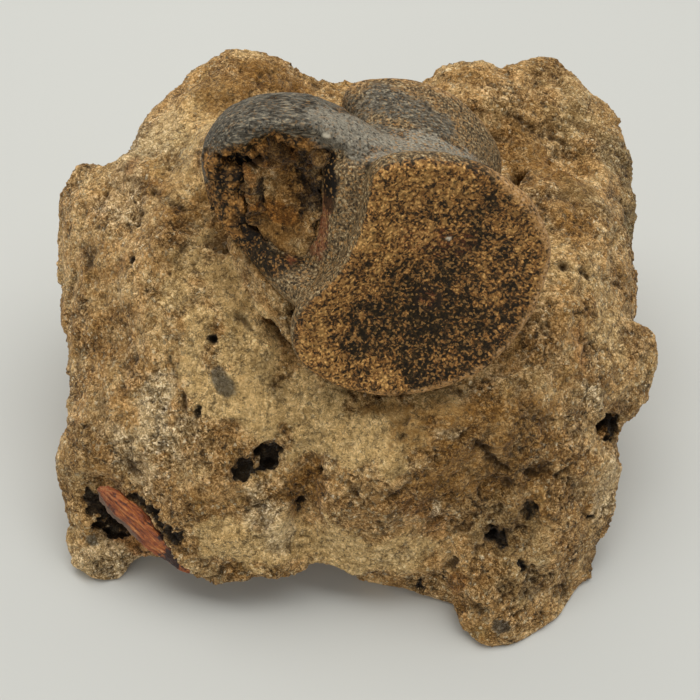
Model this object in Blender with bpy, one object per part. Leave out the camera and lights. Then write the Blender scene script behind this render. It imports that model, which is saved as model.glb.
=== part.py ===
"""Fossil vertebra lying in its block of sandstone.

Three solids: the rough block, the spool-shaped bone that lies tilted in its top, and a small splinter of
another bone in its front left corner. Sizes below are in millimetres; the meshes are in metres, +Z up, and
the block stands on z = 0 with the origin under its middle.
"""

import math

import bmesh
import bpy
import numpy as np
from mathutils import Matrix, Vector, noise

MM = 0.001

# Gap between a bone and the rock that holds it.
SEAT_GAP = 0.35

# Voxel size that fuses each solid's shapes, and the most triangles that the solid keeps.
ROCK_VOXEL = 2.0
ROCK_TRIANGLES = 6200
BONE_VOXEL = 1.2
BONE_TRIANGLES = 2500

# Passes that round the edges where those shapes meet.
ROCK_ROUNDING_STEPS = 3
BONE_ROUNDING_STEPS = 3

# Unevenness of the broken rock: size of the bumps and how far they stand out.
ROCK_BUMPS = ((26.0, 2.4), (11.0, 1.3), (5.5, 0.5))

# The block is a union of lumps, each the convex hull of its own corners.
LUMPS = {
    "core": [
        (-70, -34, -5), (-76, 20, -5), (-62, 54, -5), (0, 66, -5), (58, 58, -5), (72, 20, -5),
        (64, -32, -5), (20, -44, -5), (-34, -44, -5), (-62, 0, 52), (-66, 30, 56), (-40, 55, 60),
        (0, 60, 60), (60, 54, 58), (70, 28, 52), (66, 0, 48), (40, -26, 50), (-5, -30, 50),
        (-42, -16, 52),
    ],
    "left_flank": [
        (-80, 8, 46), (-82, 25, 53), (-69, 5, 61), (-56, 8, 71), (-44, -3, 75), (-37, -6, 69),
        (-40, -18, 62), (-56, -22, 51), (-75, -6, 40), (-75, -15, 35), (-76, -20, 31), (-60, -10, 20),
        (-77, 24, -5), (-40, 20, 20),
    ],
    "left_lower": [
        (-78, -38, 15), (-79, -30, 24), (-76, -20, 31), (-76, -16, 34), (-67, -22, 42), (-56, -24, 50),
        (-47, -32, 43), (-60, -34, 34), (-69, -45, 15), (-73, -44, 4), (-60, -46, 4),
        (-40, -30, -5), (-72, 0, -5), (-50, -10, 40),
    ],
    "left_foot": [
        (-60, -50, 3), (-62, -53, 0), (-69, -54, 0), (-75, -50, 1), (-78, -41, 11), (-66, -51, -5),
        (-76, -30, -4), (-58, -46, 14), (-60, -30, -4), (-60, -25, 20), (-57, -48, 3),
    ],
    "splinter_root": [
        (-58, -47, 3), (-54, -47, 4), (-49, -49, 7), (-46, -51, 10), (-60, -42, 14), (-50, -46, 18),
        (-44, -50, 16), (-58, -30, -4), (-44, -36, 2), (-50, -20, 20), (-40, -44, 12),
    ],
    "left_front": [
        (-69, -36, 27), (-66, -45, 14), (-60, -34, 34), (-56, -30, 42), (-47, -32, 43),
        (-38, -42, 37), (-45, -44, 26), (-52, -45, 14), (-40, -30, 0), (-60, -20, 10),
        (-50, -15, 50), (-34, -27, 52),
    ],
    "flank_step": [
        (-56, -22, 51), (-40, -18, 61), (-34, -27, 54), (-47, -32, 43), (-37, -36, 46),
        (-60, -24, 44), (-50, -9, 64), (-45, -20, 30), (-30, -20, 40),
    ],
    "left_shoulder": [
        (-82, 25, 52), (-79, 31, 57), (-76, 35, 66), (-75, 37, 71), (-62, 34, 75), (-54, 28, 79),
        (-65, 20, 72), (-69, 5, 61), (-56, 8, 73), (-44, -3, 77), (-43, 14, 82), (-46, 26, 80),
        (-60, 46, 30), (-78, 30, 20), (-40, 20, 40), (-68, 40, 52),
    ],
    "left_peak": [
        (-59, 37, 77), (-56, 46, 79), (-50, 55, 82), (-41, 61, 84), (-31, 65, 88), (-22, 64, 86),
        (-42, 39, 84), (-30, 48, 90), (-22, 46, 88), (-36, 14, 82), (-14, 40, 74), (-12, 64, 76),
        (-13, 70, 4), (-34, 69, 34), (-54, 58, -5), (-50, 59, 44), (-20, 20, 50), (-46, 24, 78),
    ],
    "back_saddle": [
        (-20, 66, 80), (-10, 65, 72), (-2, 65, 68), (10, 66, 67), (18, 67, 70), (-16, 50, 81),
        (-4, 50, 70), (20, 50, 69), (14, 71, 46), (-2, 72, 28), (-14, 69, -5), (20, 68, -5),
        (0, 20, 40),
    ],
    "right_knob": [
        (19, 66, 72), (24, 67, 77), (30, 67, 81), (36, 67, 81), (40, 65, 77), (46, 66, 76),
        (24, 54, 78), (31, 50, 82), (42, 50, 81), (28, 40, 70), (46, 40, 72), (25, 73, 40),
        (38, 74, 22), (30, 70, -5), (46, 66, -5),
    ],
    "right_crag": [
        (43, 66, 77), (47, 71, 78), (55, 75, 79), (61, 74, 77), (66, 66, 73), (41, 50, 81),
        (55, 54, 77), (63, 44, 71), (44, 42, 77), (36, 30, 72), (60, 71, 44), (62, 58, 60),
        (64, 56, -5), (50, 67, -5), (40, 30, 30),
    ],
    "crag_shoulder": [
        (66, 65, 72), (70, 62, 70), (76, 59, 67), (80, 55, 62), (80, 44, 60), (55, 54, 76),
        (63, 44, 71), (68, 30, 68), (72, 60, 36), (76, 44, 20), (68, 54, -5), (50, 40, 60),
        (56, 60, 40),
    ],
    "right_wall": [
        (80, 40, 59), (79, 34, 57), (79, 27, 54), (76, 12, 50), (77, 3, 47), (68, 30, 68),
        (64, 8, 69), (63, -5, 66), (44, 22, 73), (48, 34, 73), (54, 6, 73), (55, -3, 72),
        (44, 0, 66), (73, 46, -5), (76, 16, 10), (70, 0, -5),
    ],
    "right_side_knob": [
        (78, 14, 44), (79, 6, 30), (76, -6, 18), (77, 22, 26), (72, 4, 4), (60, 10, 20),
        (66, -12, 14),
    ],
    "left_side_rib": [
        (-80, 16, 36), (-79, 26, 18), (-78, 4, 26), (-76, -10, 12), (-76, 38, -5), (-77, 36, 14),
        (-74, 0, -5), (-60, 20, 20),
    ],
    "left_back_corner": [
        (-73, 36, 60), (-71, 42, 48), (-66, 50, 30), (-70, 46, 8), (-58, 54, 50), (-58, 56, -5),
        (-72, 36, -5), (-50, 40, 30),
    ],
    "right_ledge": [
        (82, -3, 48), (82, -11, 42), (80, -16, 37), (77, -20, 33), (74, 0, 50), (70, -5, 56),
        (56, -9, 69), (50, -21, 66), (64, -20, 53), (72, -18, 43), (55, -30, 50), (68, -24, 28),
        (50, 0, 40), (76, 0, 30),
    ],
    "right_buttress": [
        (71, -26, 26), (72, -37, 18), (69, -45, 10), (66, -52, 2), (57, -58, -1), (63, -32, 36),
        (55, -31, 49), (53, -38, 43), (47, -45, 38), (56, -50, 24), (50, -59, 14), (52, -62, -4),
        (40, -38, 48), (66, -10, 4), (44, -30, -4), (60, -20, 48),
    ],
    "right_foot": [
        (51, -65, 0), (43, -70, 0), (35, -72, 0), (30.5, -69.5, 2), (29.5, -65, 6), (26, -59, 8),
        (28, -55, 16), (32, -46, 38), (36, -53, 28), (44, -61, 15), (37, -66, 9), (50, -50, 20),
        (40, -44, -4), (57, -60, 0), (48, -64, -5), (38, -71, -5),
    ],
    "buttress_root": [
        (31, -40, 56), (39, -42, 48), (33, -45, 38), (34, -51, 27), (47, -45, 37), (55, -30, 50),
        (42, -33, 60), (24, -48, 22), (50, -50, 20), (40, -20, 30), (26, -52, 14), (31, -55, 12),
    ],
    "middle_mass": [
        (23, -56, 11), (11, -58, 12), (0, -58, 12), (-7, -55, 14), (-9, -46, 24), (-10, -41, 46),
        (-1, -51, 36), (-5, -35, 56), (10, -40, 57), (22, -41, 56), (31, -40, 57), (32, -46, 38),
        (19, -53, 24), (10, -53, 34), (8, -50, 46), (20, -30, 10), (-8, -30, 10),
    ],
    "front_knob": [
        (-14, -55, 13), (-18, -57, 12), (-26, -58, 12), (-35, -59, 10), (-40, -58, 10),
        (-44, -55, 13), (-50, -52, 14), (-56, -50, 15), (-44, -50, 27), (-38, -43, 40),
        (-26, -48, 36), (-25, -53, 25), (-17, -48, 34), (-16, -53, 20), (-25, -36, 50),
        (-34, -29, 53), (-18, -34, 50), (-30, -20, 10),
    ],
    "knob_web": [
        (-18, -45, 36), (-12, -47, 24), (-8, -46, 36), (-10, -40, 48), (-16, -30, 54),
        (-12, -54, 12), (-18, -54, 12), (-4, -55, 13), (-12, -20, 20), (2, -40, 50),
    ],
    "under_middle": [
        (0, -51, 0), (8, -55, -1), (16, -57, -1), (26, -57, -1), (31, -61, -1), (4, -52, 11),
        (27, -54, 11), (10, -30, -4), (30, -30, -4), (15, -50, 14),
    ],
    "arch_bed": [
        (-46, 14, 80), (-44, -3, 76), (-34, 1, 76), (-26, 2, 68), (-18, 12, 66), (-20, 26, 74),
        (-40, 28, 82), (-30, 10, 40), (-40, 0, 50),
    ],
    "bone_bank": [
        (-16, -16, 76), (-19, -12, 80), (-22, -10, 81), (-25, -7, 82), (-28, -4, 82), (-32, 1, 82),
        (-15, -20, 73), (-14, -23, 69), (-13, -25, 64), (-26, -6, 73), (-22, -12, 68),
        (-5, -10, 58), (-15, 12, 72), (-30, 8, 78),
    ],
    "waist_fill": [
        (38, -8, 67), (41, 8, 73), (42, 24, 76), (34, 34, 76), (20, 20, 60), (20, -5, 60),
        (46, 10, 70), (30, 0, 72), (28, 28, 76),
    ],
    "cleaned_apron": [
        (-44, -3, 75), (-34, 1, 76), (-29, -4, 68), (-29, -15, 60), (-40, -18, 60), (-18, -16, 59),
        (-16, -29, 55), (-34, -27, 54), (-25, -35, 50), (-10, -41, 48), (-22, 8, 68), (0, 0, 40),
    ],
    "face_shelf": [
        (-16, -29, 55), (-5, -35, 57), (10, -40, 57), (22, -41, 57), (31, -40, 58), (42, -33, 61),
        (40, -15, 64), (10, -15, 62), (-12, -12, 59), (10, -35, 30), (30, -30, 30), (-10, -25, 30),
    ],
    "right_apron": [
        (31, -40, 57), (42, -33, 61), (50, -21, 66), (56, -9, 69), (55, -3, 71), (38, 4, 68),
        (30, -20, 62), (55, -30, 50), (39, -42, 48), (26, -40, 50), (40, -10, 40),
    ],
    "seat": [
        (-14, 50, 78), (-20, 20, 74), (-12, -10, 60), (24, -14, 60), (44, 10, 66), (42, 44, 74),
        (10, 56, 72), (0, 0, 30), (20, 40, 30),
    ],
}

# Hollows and grooves in the broken faces: the places they run between, radius and depth.
HOLLOWS = {
    "cavity_by_splinter": ((-67, -40, 25), (-62, -44, 15), 8.0, 7.0),
    "pit_in_knob": ((-21, -40, 44), (-20, -42, 42), 4.5, 5.0),
    "lower_pit_in_knob": ((-26, -43, 42), (-26, -44, 41), 4.0, 5.0),
    "knob_groove": ((-11, -42, 46), (-12, -50, 16), 6.0, 3.5),
    "ledge_pit": ((66, -27, 37), (68, -27, 34), 5.5, 6.0),
    "buttress_groove": ((37, -46, 37), (36, -58, 18), 6.0, 3.5),
    "buttress_cleft": ((46, -43, 41), (44, -52, 26), 5.0, 2.5),
    "back_hollow": ((42, 44, 78), (38, 36, 74), 10.0, 3.5),
    "crag_hollow": ((56, 42, 75), (62, 36, 70), 9.0, 3.0),
    "flank_dip": ((-64, -2, 60), (-60, -12, 56), 11.0, 2.5),
    "shoulder_dip": ((-56, 14, 75), (-66, 20, 72), 9.0, 2.0),
    "canal_gap": ((-8.5, 1.0, 91.0), (-7.0, 3.5, 98.0), 4.5, 3.5),
}

# The bone's own axes: X across its width, Y from its belly to its arch, Z out of the nearer end face.
BONE_OUTWARD = Vector((0.10, -0.92, 0.38))
BONE_ARCHWARD = Vector((-0.90, 0.08, 0.43))
BONE_PLACE = (16.8, -25.2, 92.0)
CENTRUM_LENGTH = 53.0
CENTRUM_DRIFT = (2.3, 2.5)
CENTRUM_MIDDLE = (-1.0, -1.5)
END_FACE = [
    (20.4, 21.4), (27.0, 11.0), (28.7, -2.5), (25.3, -14.8), (18.0, -23.6), (7.0, -27.2), (-5.0, -27.4),
    (-17.0, -23.4), (-26.2, -14.6), (-32.0, -3.0), (-33.2, 8.5), (-28.8, 19.6), (-19.0, 23.0),
    (-7.6, 19.0), (3.0, 18.6), (12.0, 20.4),
]
# Width of the centrum along its length: (distance behind the nearer end face, share of the end face).
CENTRUM_WAIST = [
    (0.0, 0.955), (1.2, 0.985), (3.2, 1.0), (6.0, 0.985), (10.0, 0.92), (15.0, 0.83), (21.0, 0.765),
    (27.5, 0.75), (34.0, 0.78), (40.5, 0.86), (46.5, 0.96), (50.0, 1.0), (52.0, 0.985), (53.0, 0.95),
]
DISH_DEPTH = 4.5
DISH_STEEPNESS = 2.4
DISH_RINGS = (0.86, 0.72, 0.56, 0.40, 0.24, 0.11)
DIMPLE_DEPTH = 1.6
DIMPLE_RADIUS = 0.2
END_FACE_POINTS = 60
# Walls of the arch: (across, up, behind the nearer face, half thickness, half length along the bone).
SMOOTH_PEDICLE = [
    (12.0, 8.0, 25.0, 7.0, 13.0), (15.8, 20.0, 25.5, 5.0, 12.0), (18.5, 31.0, 26.0, 3.3, 11.5),
    (15.8, 40.8, 26.5, 3.4, 11.0), (9.8, 48.0, 26.5, 3.8, 10.5), (3.0, 50.8, 27.0, 3.2, 9.5),
    (-3.0, 50.2, 28.0, 2.4, 8.5),
]
BROKEN_LAMINA = [
    (12.4, 26.0, 28.5, 2.6, 10.5), (13.4, 33.0, 28.8, 3.0, 10.3), (12.0, 39.5, 29.0, 3.6, 9.8),
    (7.5, 44.6, 29.3, 4.8, 9.6), (1.0, 46.2, 29.4, 6.4, 9.3), (-6.5, 43.4, 29.3, 6.4, 9.0),
    (-12.8, 37.0, 29.0, 5.2, 9.0), (-16.0, 30.0, 25.5, 4.8, 11.0), (-17.6, 21.0, 21.5, 6.0, 13.0),
    (-14.0, 10.0, 24.0, 8.0, 14.0),
]
ARCH_SIDES = 20
ARCH_STEPS = 6

# Swelling of the centrum that floors the canal, in the same numbers.
CANAL_FLOOR = [
    (-14.0, 12.0, 20.0, 6.0, 10.0), (-8.0, 17.0, 20.0, 6.5, 10.0), (1.0, 18.5, 20.0, 6.0, 10.5),
    (9.0, 21.0, 20.5, 6.5, 11.0), (15.0, 25.0, 22.0, 5.5, 11.0),
]
# Rock that fills the canal: its outline in the bone's own axes, and how far behind the nearer face it starts,
# at its top edge and for each millimetre below that. Behind the arch it runs down into the block.
CANAL_ROCK = [(15, 44), (18, 30), (12, 20), (0, 17), (-10, 20), (-15, 30), (-6, 41), (8, 48)]
CANAL_ROCK_FRONT = 24.5
CANAL_ROCK_SLOPE = -0.30
CANAL_ROCK_BACK = 41.0
CANAL_ROCK_TAIL = [(-46, 22, 79), (-40, 38, 81), (-10, 44, 74), (6, 30, 73), (-20, 24, 60)]
CANAL_TAIL_SHARE = 0.95
CANAL_TAIL_OVERLAP = 3.0

# The splinter: a flattened, grooved sliver between two ends, in block coordinates.
SPLINTER_TOP = (-65.0, -39.5, 28.0)
SPLINTER_BOTTOM = (-41.6, -55.4, 12.1)
SPLINTER_OUTWARD = Vector((-0.30, -0.72, 0.62))
SPLINTER_WIDTH = 7.0
SPLINTER_THICKNESS = 5.0
# Width along it: (share of its length, share of the full width).
SPLINTER_TAPER = [
    (0.0, 0.30), (0.05, 0.62), (0.18, 0.92), (0.4, 1.0), (0.62, 0.9), (0.82, 0.68), (0.95, 0.45), (1.0, 0.2),
]
SPLINTER_SIDES = 12
SPLINTER_GROOVE = 0.16
SPLINTER_GROOVES = 3


def clear_scene():
    for obj in list(bpy.data.objects):
        bpy.data.objects.remove(obj, do_unlink=True)


def new_object(name, points_mm, faces):
    """A mesh object whose points are given in millimetres."""
    mesh = bpy.data.meshes.new(name)
    mesh.from_pydata([Vector(p) * MM for p in points_mm], [], faces)
    mesh.update()
    obj = bpy.data.objects.new(name, mesh)
    bpy.context.scene.collection.objects.link(obj)
    return obj


def make_material(name, colour, roughness):
    material = bpy.data.materials.new(name)
    material.use_nodes = True
    shader = material.node_tree.nodes["Principled BSDF"]
    shader.inputs["Base Color"].default_value = (*colour, 1.0)
    shader.inputs["Roughness"].default_value = roughness
    shader.inputs["Metallic"].default_value = 0.0
    return material


def bake_modifiers(obj):
    """Turns the object's evaluated shape into its own mesh."""
    graph = bpy.context.evaluated_depsgraph_get()
    baked = bpy.data.meshes.new_from_object(obj.evaluated_get(graph))
    obj.modifiers.clear()
    obj.data = baked


def keep_largest_body(mesh):
    """Deletes loose flakes, so that one closed body is left."""
    bm = bmesh.new()
    bm.from_mesh(mesh)
    waiting = set(bm.verts)
    bodies = []
    while waiting:
        body = {waiting.pop()}
        edge_of_body = list(body)
        while edge_of_body:
            vertex = edge_of_body.pop()
            for edge in vertex.link_edges:
                other = edge.other_vert(vertex)
                if other not in body:
                    body.add(other)
                    edge_of_body.append(other)
        waiting -= body
        bodies.append(body)
    largest = max(bodies, key=len)
    loose = [vertex for vertex in bm.verts if vertex not in largest]
    bmesh.ops.delete(bm, geom=loose, context="VERTS")
    bm.to_mesh(mesh)
    bm.free()


def fuse(obj, voxel, rounding_steps):
    """Joins the object's overlapping shapes into one skin and rounds its edges."""
    remesh = obj.modifiers.new("Fuse", "REMESH")
    remesh.mode = "VOXEL"
    remesh.voxel_size = voxel * MM
    rounding = obj.modifiers.new("Round", "SMOOTH")
    rounding.factor = 0.5
    rounding.iterations = rounding_steps
    bake_modifiers(obj)
    keep_largest_body(obj.data)


def thin_out(obj, triangles):
    """Collapses small faces until about this many triangles are left."""
    obj.data.calc_loop_triangles()
    decimate = obj.modifiers.new("Facets", "DECIMATE")
    decimate.ratio = min(1.0, triangles / len(obj.data.loop_triangles))
    decimate.use_collapse_triangulate = True
    bake_modifiers(obj)
    keep_largest_body(obj.data)


def add_hull(bm, corners):
    """Adds the closed convex hull of these corners."""
    verts = [bm.verts.new(Vector(corner) * MM) for corner in corners]
    hull = bmesh.ops.convex_hull(bm, input=verts)
    inner = [item for item in hull["geom_interior"] if isinstance(item, bmesh.types.BMVert)]
    bmesh.ops.delete(bm, geom=inner, context="VERTS")


def closed_curve(corners, count):
    """Points on a smooth closed curve through the corners (Catmull-Rom)."""
    knots = [np.array(corner, float) for corner in corners]
    points = []
    for step in range(count):
        place = step * len(knots) / count
        i = int(place)
        t = place - i
        before, start, end, after = (knots[(i + k) % len(knots)] for k in (-1, 0, 1, 2))
        points.append(
            0.5 * (2 * start + (end - before) * t + (2 * before - 5 * start + 4 * end - after) * t**2
                   + (3 * start - before - 3 * end + after) * t**3)
        )
    return points


def open_curve(stations, steps):
    """Rows between the stations, smoothly blended, with this many steps in each stretch."""
    rows = [np.array(row, float) for row in stations]
    rows = [2 * rows[0] - rows[1], *rows, 2 * rows[-1] - rows[-2]]
    blended = []
    for i in range(1, len(rows) - 2):
        before, start, end, after = rows[i - 1:i + 3]
        for step in range(steps):
            t = step / steps
            blended.append(
                0.5 * (2 * start + (end - before) * t + (2 * before - 5 * start + 4 * end - after) * t**2
                       + (3 * start - before - 3 * end + after) * t**3)
            )
    blended.append(rows[-2])
    return blended


def loft(rings):
    """Points and faces of a closed body through rings of equal length, with a fan on each end."""
    count = len(rings[0])
    points = [tuple(point) for ring in rings for point in ring]
    faces = []
    for i in range(len(rings) - 1):
        for j in range(count):
            k = (j + 1) % count
            faces.append((i * count + j, i * count + k, (i + 1) * count + k, (i + 1) * count + j))
    for ring, start in ((rings[0], 0), (rings[-1], (len(rings) - 1) * count)):
        hub = len(points)
        points.append(tuple(np.mean(np.array(ring, float), axis=0)))
        for j in range(count):
            faces.append((start + j, start + (j + 1) % count, hub))
    return points, faces


def dish(share):
    """How far an end face is hollowed at this share of its radius."""
    bowl = DISH_DEPTH * (1.0 - share**DISH_STEEPNESS)
    dimple = DIMPLE_DEPTH * math.exp(-((share / DIMPLE_RADIUS) ** 2))
    return bowl + dimple


def centrum_rings():
    outline = [point - CENTRUM_MIDDLE for point in closed_curve(END_FACE, END_FACE_POINTS)]

    def ring(share, behind):
        middle = np.array(CENTRUM_MIDDLE) + np.array(CENTRUM_DRIFT) * behind / CENTRUM_LENGTH
        return [(*(middle + share * point), -behind) for point in outline]

    near_rim = CENTRUM_WAIST[0][1]
    far_rim = CENTRUM_WAIST[-1][1]
    near = [ring(near_rim * share, dish(share)) for share in reversed(DISH_RINGS)]
    barrel = [ring(share, behind) for behind, share in CENTRUM_WAIST]
    far = [ring(far_rim * share, CENTRUM_LENGTH - dish(share)) for share in DISH_RINGS]
    return near + barrel + far


def arch_rings(stations):
    """Oval sections across the arch's wall, square to its path from one station to the next."""
    rows = open_curve(stations, ARCH_STEPS)
    rings = []
    for i, row in enumerate(rows):
        along = rows[min(i + 1, len(rows) - 1)][:2] - rows[max(i - 1, 0)][:2]
        along = along / np.linalg.norm(along)
        across = np.array((-along[1], along[0]))
        ring = []
        for side in range(ARCH_SIDES):
            angle = 2 * math.pi * side / ARCH_SIDES
            offset = across * row[3] * math.cos(angle)
            ring.append((row[0] + offset[0], row[1] + offset[1], -row[2] + row[4] * math.sin(angle)))
        rings.append(ring)
    return rings


def bone_matrix():
    """Places the bone's own axes in the block."""
    outward = BONE_OUTWARD.normalized()
    archward = (BONE_ARCHWARD - outward * BONE_ARCHWARD.dot(outward)).normalized()
    across = archward.cross(outward)
    turn = Matrix((across, archward, outward)).transposed()
    return Matrix.Translation(Vector(BONE_PLACE) * MM) @ turn.to_4x4()


def make_vertebra():
    points, faces = [], []
    for rings in (
        centrum_rings(), arch_rings(SMOOTH_PEDICLE), arch_rings(BROKEN_LAMINA), arch_rings(CANAL_FLOOR)
    ):
        more_points, more_faces = loft(rings)
        faces += [tuple(index + len(points) for index in face) for face in more_faces]
        points += more_points
    bone = new_object("vertebra", points, faces)
    face_outward(bone.data)
    fuse(bone, BONE_VOXEL, BONE_ROUNDING_STEPS)
    thin_out(bone, BONE_TRIANGLES)
    bone.matrix_world = bone_matrix()
    bone.data.materials.append(make_material("fossil_bone", (0.085, 0.055, 0.033), 0.62))
    bone.data.shade_smooth()
    return bone


def face_outward(mesh):
    bm = bmesh.new()
    bm.from_mesh(mesh)
    bmesh.ops.recalc_face_normals(bm, faces=bm.faces)
    bm.to_mesh(mesh)
    bm.free()


def add_canal_rock(bm):
    """Adds the plug that fills the canal and the slope of rock that joins it to the block."""
    place = bone_matrix()

    def in_block(across, up, behind):
        return place @ (Vector((across, up, -behind)) * MM) / MM

    top = max(up for _, up in CANAL_ROCK)
    middle = np.mean(CANAL_ROCK, axis=0)
    plug, slope = [], [Vector(corner) for corner in CANAL_ROCK_TAIL]
    for across, up in CANAL_ROCK:
        plug.append(in_block(across, up, CANAL_ROCK_FRONT + CANAL_ROCK_SLOPE * (top - up)))
        plug.append(in_block(across, up, CANAL_ROCK_BACK))
        narrower = middle + CANAL_TAIL_SHARE * (np.array((across, up)) - middle)
        slope.append(in_block(*narrower, CANAL_ROCK_BACK - CANAL_TAIL_OVERLAP))
    add_hull(bm, plug)
    add_hull(bm, slope)


def roughen(mesh):
    """Pushes the block's skin in and out by bumps of several sizes."""
    points = [vertex.co.copy() for vertex in mesh.vertices]
    normals = [vertex.normal.copy() for vertex in mesh.vertices]
    for vertex, point, normal in zip(mesh.vertices, points, normals):
        lift = sum(height * noise.noise(point / (size * MM)) for size, height in ROCK_BUMPS)
        vertex.co = point + normal * lift * MM
    mesh.update()


def hollow_out(mesh):
    """Sinks the skin along each hollow, deepest on its middle line."""
    for start, end, radius, depth in HOLLOWS.values():
        start = Vector(start) * MM
        run = Vector(end) * MM - start
        sunk = []
        for vertex in mesh.vertices:
            share = min(1.0, max(0.0, (vertex.co - start).dot(run) / run.length_squared))
            away = (vertex.co - start - run * share).length / (radius * MM)
            if away < 1.0:
                sunk.append((vertex, vertex.normal * (-depth * MM * (1.0 - away**2) ** 2)))
        for vertex, move in sunk:
            vertex.co += move
        mesh.update()


def cut_flat_base(mesh):
    """Cuts the block off at z = 0 and closes the cut."""
    bm = bmesh.new()
    bm.from_mesh(mesh)
    cut = bmesh.ops.bisect_plane(
        bm, geom=bm.verts[:] + bm.edges[:] + bm.faces[:],
        plane_co=(0, 0, 0), plane_no=(0, 0, 1), clear_inner=True,
    )
    rim = [item for item in cut["geom_cut"] if isinstance(item, bmesh.types.BMEdge)]
    bmesh.ops.edgeloop_fill(bm, edges=rim)
    bmesh.ops.recalc_face_normals(bm, faces=bm.faces)
    bm.to_mesh(mesh)
    bm.free()


def seat_cutter(bone):
    """A copy of the bone, larger by the gap, that cuts its seat in the rock."""
    cutter = bone.copy()
    cutter.data = bone.data.copy()
    cutter.name = bone.name + "_seat"
    bpy.context.scene.collection.objects.link(cutter)
    swell = cutter.modifiers.new("Gap", "DISPLACE")
    swell.strength = SEAT_GAP * MM
    swell.mid_level = 0.0
    cutter.hide_render = True
    cutter.display_type = "WIRE"
    return cutter


def make_block(bones):
    bm = bmesh.new()
    for corners in LUMPS.values():
        add_hull(bm, corners)
    add_canal_rock(bm)
    mesh = bpy.data.meshes.new("matrix_block")
    bm.to_mesh(mesh)
    bm.free()
    block = bpy.data.objects.new("matrix_block", mesh)
    bpy.context.scene.collection.objects.link(block)
    face_outward(block.data)
    fuse(block, ROCK_VOXEL, ROCK_ROUNDING_STEPS)
    roughen(block.data)
    hollow_out(block.data)
    thin_out(block, ROCK_TRIANGLES)
    cut_flat_base(block.data)
    for bone in bones:
        seat = block.modifiers.new("Seat of " + bone.name, "BOOLEAN")
        seat.operation = "DIFFERENCE"
        seat.solver = "EXACT"
        seat.object = seat_cutter(bone)
    bake_modifiers(block)
    keep_largest_body(block.data)
    block.data.materials.clear()
    block.data.materials.append(make_material("sandstone", (0.30, 0.21, 0.115), 0.92))
    return block


def splinter_rings(along, across, outward, length):
    """Grooved oval sections from one end of the splinter to the other."""
    rings = []
    for share, width in SPLINTER_TAPER:
        ring = []
        for side in range(SPLINTER_SIDES):
            angle = 2 * math.pi * side / SPLINTER_SIDES
            radius = 0.5 * width * (1.0 - SPLINTER_GROOVE * math.cos(SPLINTER_GROOVES * angle))
            x = SPLINTER_WIDTH * radius * math.cos(angle)
            y = SPLINTER_THICKNESS * radius * math.sin(angle)
            ring.append(across * x + outward * y + along * (share * length))
        rings.append(ring)
    return rings


def make_splinter():
    run = Vector(SPLINTER_BOTTOM) - Vector(SPLINTER_TOP)
    along = run.normalized()
    outward = (SPLINTER_OUTWARD - along * SPLINTER_OUTWARD.dot(along)).normalized()
    points, faces = loft(splinter_rings(along, outward.cross(along), outward, run.length))
    splinter = new_object("bone_splinter", points, faces)
    face_outward(splinter.data)
    splinter.location = Vector(SPLINTER_TOP) * MM
    splinter.data.materials.append(make_material("red_bone", (0.28, 0.105, 0.05), 0.55))
    splinter.data.shade_smooth()
    return splinter


def stand_on_origin(block, others):
    """Parents the solids to an empty that brings the middle of the block's base to the origin."""
    corners = [vertex.co for vertex in block.data.vertices]
    middle_x = 0.5 * (min(c.x for c in corners) + max(c.x for c in corners))
    middle_y = 0.5 * (min(c.y for c in corners) + max(c.y for c in corners))
    specimen = bpy.data.objects.new("specimen", None)
    bpy.context.scene.collection.objects.link(specimen)
    for obj in (block, *others):
        obj.parent = specimen
    specimen.location = (-middle_x, -middle_y, 0.0)


def main():
    clear_scene()
    vertebra = make_vertebra()
    splinter = make_splinter()
    block = make_block([vertebra, splinter])
    stand_on_origin(block, [vertebra, splinter])


main()
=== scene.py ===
"""A fossil dinosaur vertebra in its sandstone matrix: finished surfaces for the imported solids.

Lengths are in millimetres, and turned to metres where they reach Blender. The block stands on z = 0 and the
vertebra leans out of its top towards the front, which is -Y. In the bone's own axes, x runs across the end
face, y goes towards the neural arch, and z comes straight out of the nearer end face.
"""

import math
from functools import partial

import bpy
import numpy as np
from bpy.props import FloatProperty, FloatVectorProperty, IntProperty, PointerProperty
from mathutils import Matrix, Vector, noise
from mathutils.bvhtree import BVHTree
from mathutils.kdtree import KDTree


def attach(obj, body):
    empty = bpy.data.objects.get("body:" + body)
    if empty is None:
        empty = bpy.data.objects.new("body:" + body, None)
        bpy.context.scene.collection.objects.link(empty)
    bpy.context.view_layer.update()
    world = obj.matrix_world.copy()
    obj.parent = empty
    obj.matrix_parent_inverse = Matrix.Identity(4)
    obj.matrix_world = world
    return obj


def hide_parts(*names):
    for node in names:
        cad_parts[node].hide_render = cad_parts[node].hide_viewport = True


bl_info = {
    "name": "Fossil Vertebra in Sandstone",
    "version": (1, 0, 0),
    "blender": (4, 5, 0),
    "location": "3D View > Sidebar > Fossil",
    "description": "Builds the finished surfaces of a fossil dinosaur vertebra in its sandstone matrix",
    "category": "Object",
}

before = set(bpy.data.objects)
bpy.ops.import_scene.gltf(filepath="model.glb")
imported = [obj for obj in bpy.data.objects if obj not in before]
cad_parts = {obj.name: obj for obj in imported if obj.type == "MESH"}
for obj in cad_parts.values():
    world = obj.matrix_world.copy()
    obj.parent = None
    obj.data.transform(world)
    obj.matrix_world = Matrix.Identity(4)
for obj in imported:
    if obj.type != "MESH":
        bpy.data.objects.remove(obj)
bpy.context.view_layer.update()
MM = 0.001

# From the middle of the block's own coordinates, which the numbers below are in, to the frame's origin.
BLOCK_SHIFT = np.array((0.0, -1.19, 0.0))

# Rounds of smoothing that take the facets of each solid out of its fine mesh.
ROCK_SMOOTHING = 12
BONE_SMOOTHING = 40
SPLINTER_SMOOTHING = 6

# Distance between the points of the splinter's surface.
SPLINTER_STEP = 0.35 * MM

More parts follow.
